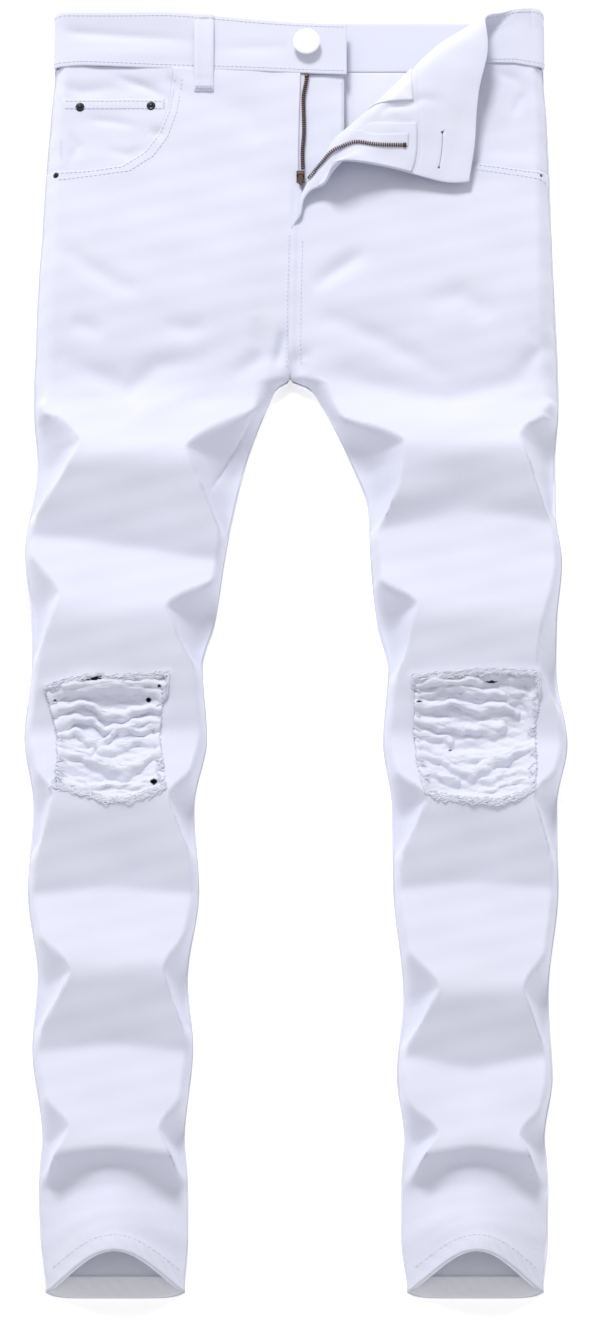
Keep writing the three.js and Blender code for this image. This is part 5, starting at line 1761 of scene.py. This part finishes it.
@dataclass
class Trims:
    """The button and the rivets, each turned from a profile, where their nodes are."""

    forms: dict[Side, FrontForm]
    steps: int = 48

    def turned(self, name: str, profile: Sequence[tuple[float, float]], centre: Array, axis: Array,
               finish: Finish, node: str) -> bpy.types.Object:
        """A shape of revolution that stands on the cloth.

        Args:
            name: The piece's name.
            profile: Radii and heights from the foot to the crown.
            centre: The middle of its foot.
            axis: The direction it stands in.
            finish: Its finish.
            node: The node it stands for.

        Returns:
            The finished object.
        """
        mesh = bmesh.new()
        line = [mesh.verts.new((r, 0, z)) for r, z in profile]
        edges = [mesh.edges.new(pair) for pair in zip(line, line[1:])]
        bmesh.ops.spin(mesh, geom=line + edges, cent=(0, 0, 0), axis=(0, 0, 1), dvec=(0, 0, 0),
                       angle=math.tau, steps=self.steps, use_merge=True)
        bmesh.ops.remove_doubles(mesh, verts=mesh.verts, dist=1e-4)
        bmesh.ops.recalc_face_normals(mesh, faces=mesh.faces)
        turn = Vector((0, 0, 1)).rotation_difference(Vector(axis)).to_matrix()
        for vertex in mesh.verts:
            spot = turn @ vertex.co
            vertex.co = (Vector(centre) + spot + Vector(ORIGIN_SHIFT)) * MM
        data = bpy.data.meshes.new(name)
        mesh.to_mesh(data)
        mesh.free()
        data.shade_smooth()
        piece = add_piece(name, data)
        round_edges(piece, 0.15, 35)
        data.materials.append(finish.material())
        return settle(piece, finish, [node])

    def button(self) -> None:
        """The enamelled button: a shank and a wide cap with a rolled rim."""
        low, high = own_frame(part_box("button"))
        radius = (high[0] - low[0]) / 2
        foot = np.array([(low[0] + high[0]) / 2, (low[1] + high[1]) / 2, low[2]])
        cap = high[2] - low[2] - 3.4
        dome = [(radius * math.cos(turn), cap + 1.2 + 2.1 * math.sin(turn))
                for turn in np.linspace(-0.9, math.pi / 2, 12)]
        profile = [(0, 0), (5.5, 0), (5.5, 1.0), (3.6, 1.6), (3.6, cap - 0.3), *dome[:-1],
                   (0, cap + 3.3)]
        self.turned("Button", profile, foot, np.array([0, 0, 1.0]), Finish.ENAMEL, "button")

    def rivet(self, node: str, side: Side, radius: float) -> None:
        """A rivet head with a flat flange and a raised nub."""
        low, high = own_frame(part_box(node))
        middle = (low + high) / 2
        form = self.forms[side]
        axis = form.outward(np.array([middle[0]]), np.array([middle[1]]))[0]
        foot = middle - axis * 0.7
        profile = [(0, -0.3), (radius, -0.3), (radius, 0.25), (radius * 0.86, 0.62),
                   (radius * 0.62, 0.7), (radius * 0.5, 0.62), (radius * 0.42, 1.15),
                   (radius * 0.22, 1.4), (0, 1.45)]
        self.turned(node.capitalize(), profile, foot, axis, Finish.RIVET_METAL, node)

    def build(self) -> None:
        """Makes the button and the four rivets."""
        self.button()
        for node, side, radius in (
                ("coin_rivet_outer", Side.RIGHT, 3.6), ("coin_rivet_inner", Side.RIGHT, 3.6),
                ("side_rivet_right", Side.RIGHT, 2.6), ("side_rivet_left", Side.LEFT, 2.6)):
            self.rivet(node, side, radius)


# ------------------------------------------------------------------ the studio


@dataclass
class Studio:
    """A white floor, a wide soft light from the waist's end and the camera above."""

    distance: float = 4.5
    tilt: float = 15.0
    lens: float = 163.0
    key_power: float = 160.0
    key_elevation: float = 44.0
    key_aside: float = 0.16
    key_away: float = 5.0
    key_width: float = 1.3
    fill: float = 0.64

    def floor(self) -> None:
        """The floor, a wide sheet with a faint grain."""
        mesh = bmesh.new()
        bmesh.ops.create_grid(mesh, x_segments=2, y_segments=2, size=6.0)
        data = bpy.data.meshes.new("Floor")
        mesh.to_mesh(data)
        mesh.free()
        piece = add_piece("Floor", data)
        material, shader = blank_material("FloorPaper")
        tree = material.node_tree
        where = add_node(tree, "TexCoord")
        grain = add_node(tree, "TexNoise", {"Scale": 60.0})
        tint = add_node(tree, "Mix", {"A": (0.96, 0.96, 0.965, 1), "B": (0.985, 0.985, 0.985, 1)},
                        data_type="RGBA")
        link(tree, (where, "Object", grain, "Vector"), (grain, "Fac", tint, "Factor"),
             (tint, "Result", shader, "Base Color"))
        set_inputs(shader, {"Roughness": 0.95, "Specular IOR Level": 0.1,
                            "Emission Color": (1, 1, 1, 1), "Emission Strength": 0.36})
        data.materials.append(material)

    def light(self) -> None:
        """One wide lamp beyond the waist and an even white surround."""
        lamp = bpy.data.lights.new("Key", "AREA")
        lamp.shape = "DISK"
        lamp.size = self.key_width
        lamp.energy = self.key_power
        key = add_piece("Key", lamp)
        rise = math.radians(self.key_elevation)
        towards = Vector((self.key_aside, -math.cos(rise), -math.sin(rise))).normalized()
        key.location = Vector(ORIGIN_SHIFT) * MM - towards * self.key_away
        key.rotation_euler = towards.to_track_quat("-Z", "Y").to_euler()
        world = bpy.data.worlds.new("Surround")
        world.use_nodes = True
        set_inputs(world.node_tree.nodes["Background"], {"Color": (1, 1, 1, 1), "Strength": self.fill})
        bpy.context.scene.world = world
        bpy.context.scene.view_settings.view_transform = "Standard"

    def camera(self) -> None:
        """The camera: straight over the garment, tilted towards the hems."""
        data = bpy.data.cameras.new("Camera")
        data.sensor_fit = "VERTICAL"
        data.sensor_height = 36.0
        data.lens = self.lens
        data.clip_end = 50
        camera = add_piece("Camera", data)
        tilt = math.radians(self.tilt)
        target = Vector(ORIGIN_SHIFT) * MM
        camera.location = target + Vector((0, -math.sin(tilt), math.cos(tilt))) * self.distance
        camera.rotation_euler = (tilt, 0, 0)
        bpy.context.scene.camera = camera

    def build(self) -> None:
        """Sets up the floor, the lights and the camera."""
        self.floor()
        self.light()
        self.camera()


def main() -> None:
    """Builds the jeans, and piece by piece."""
    logging.basicConfig(level=logging.INFO, format="%(name)s %(message)s")
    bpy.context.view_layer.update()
    forms: dict[Side, FrontForm] = {
        Side.RIGHT: FrontForm(Side.RIGHT, CREASES[Side.RIGHT]),
        Side.LEFT: FoldedForm(Side.LEFT, CREASES[Side.LEFT]),
    }
    stitching = Stitching()
    Legs(forms, stitching).build()
    for seed, side in enumerate(Side):
        KneeRip(forms[side], 40 + seed).build()
    HemTurns(forms).build()
    Pockets(forms, stitching).build()
    Waistband(forms, stitching).build()
    Fly(forms, stitching).build()
    stitching.finish()
    Trims(forms).build()
    Studio().build()


if __name__ == "__main__":
    main()
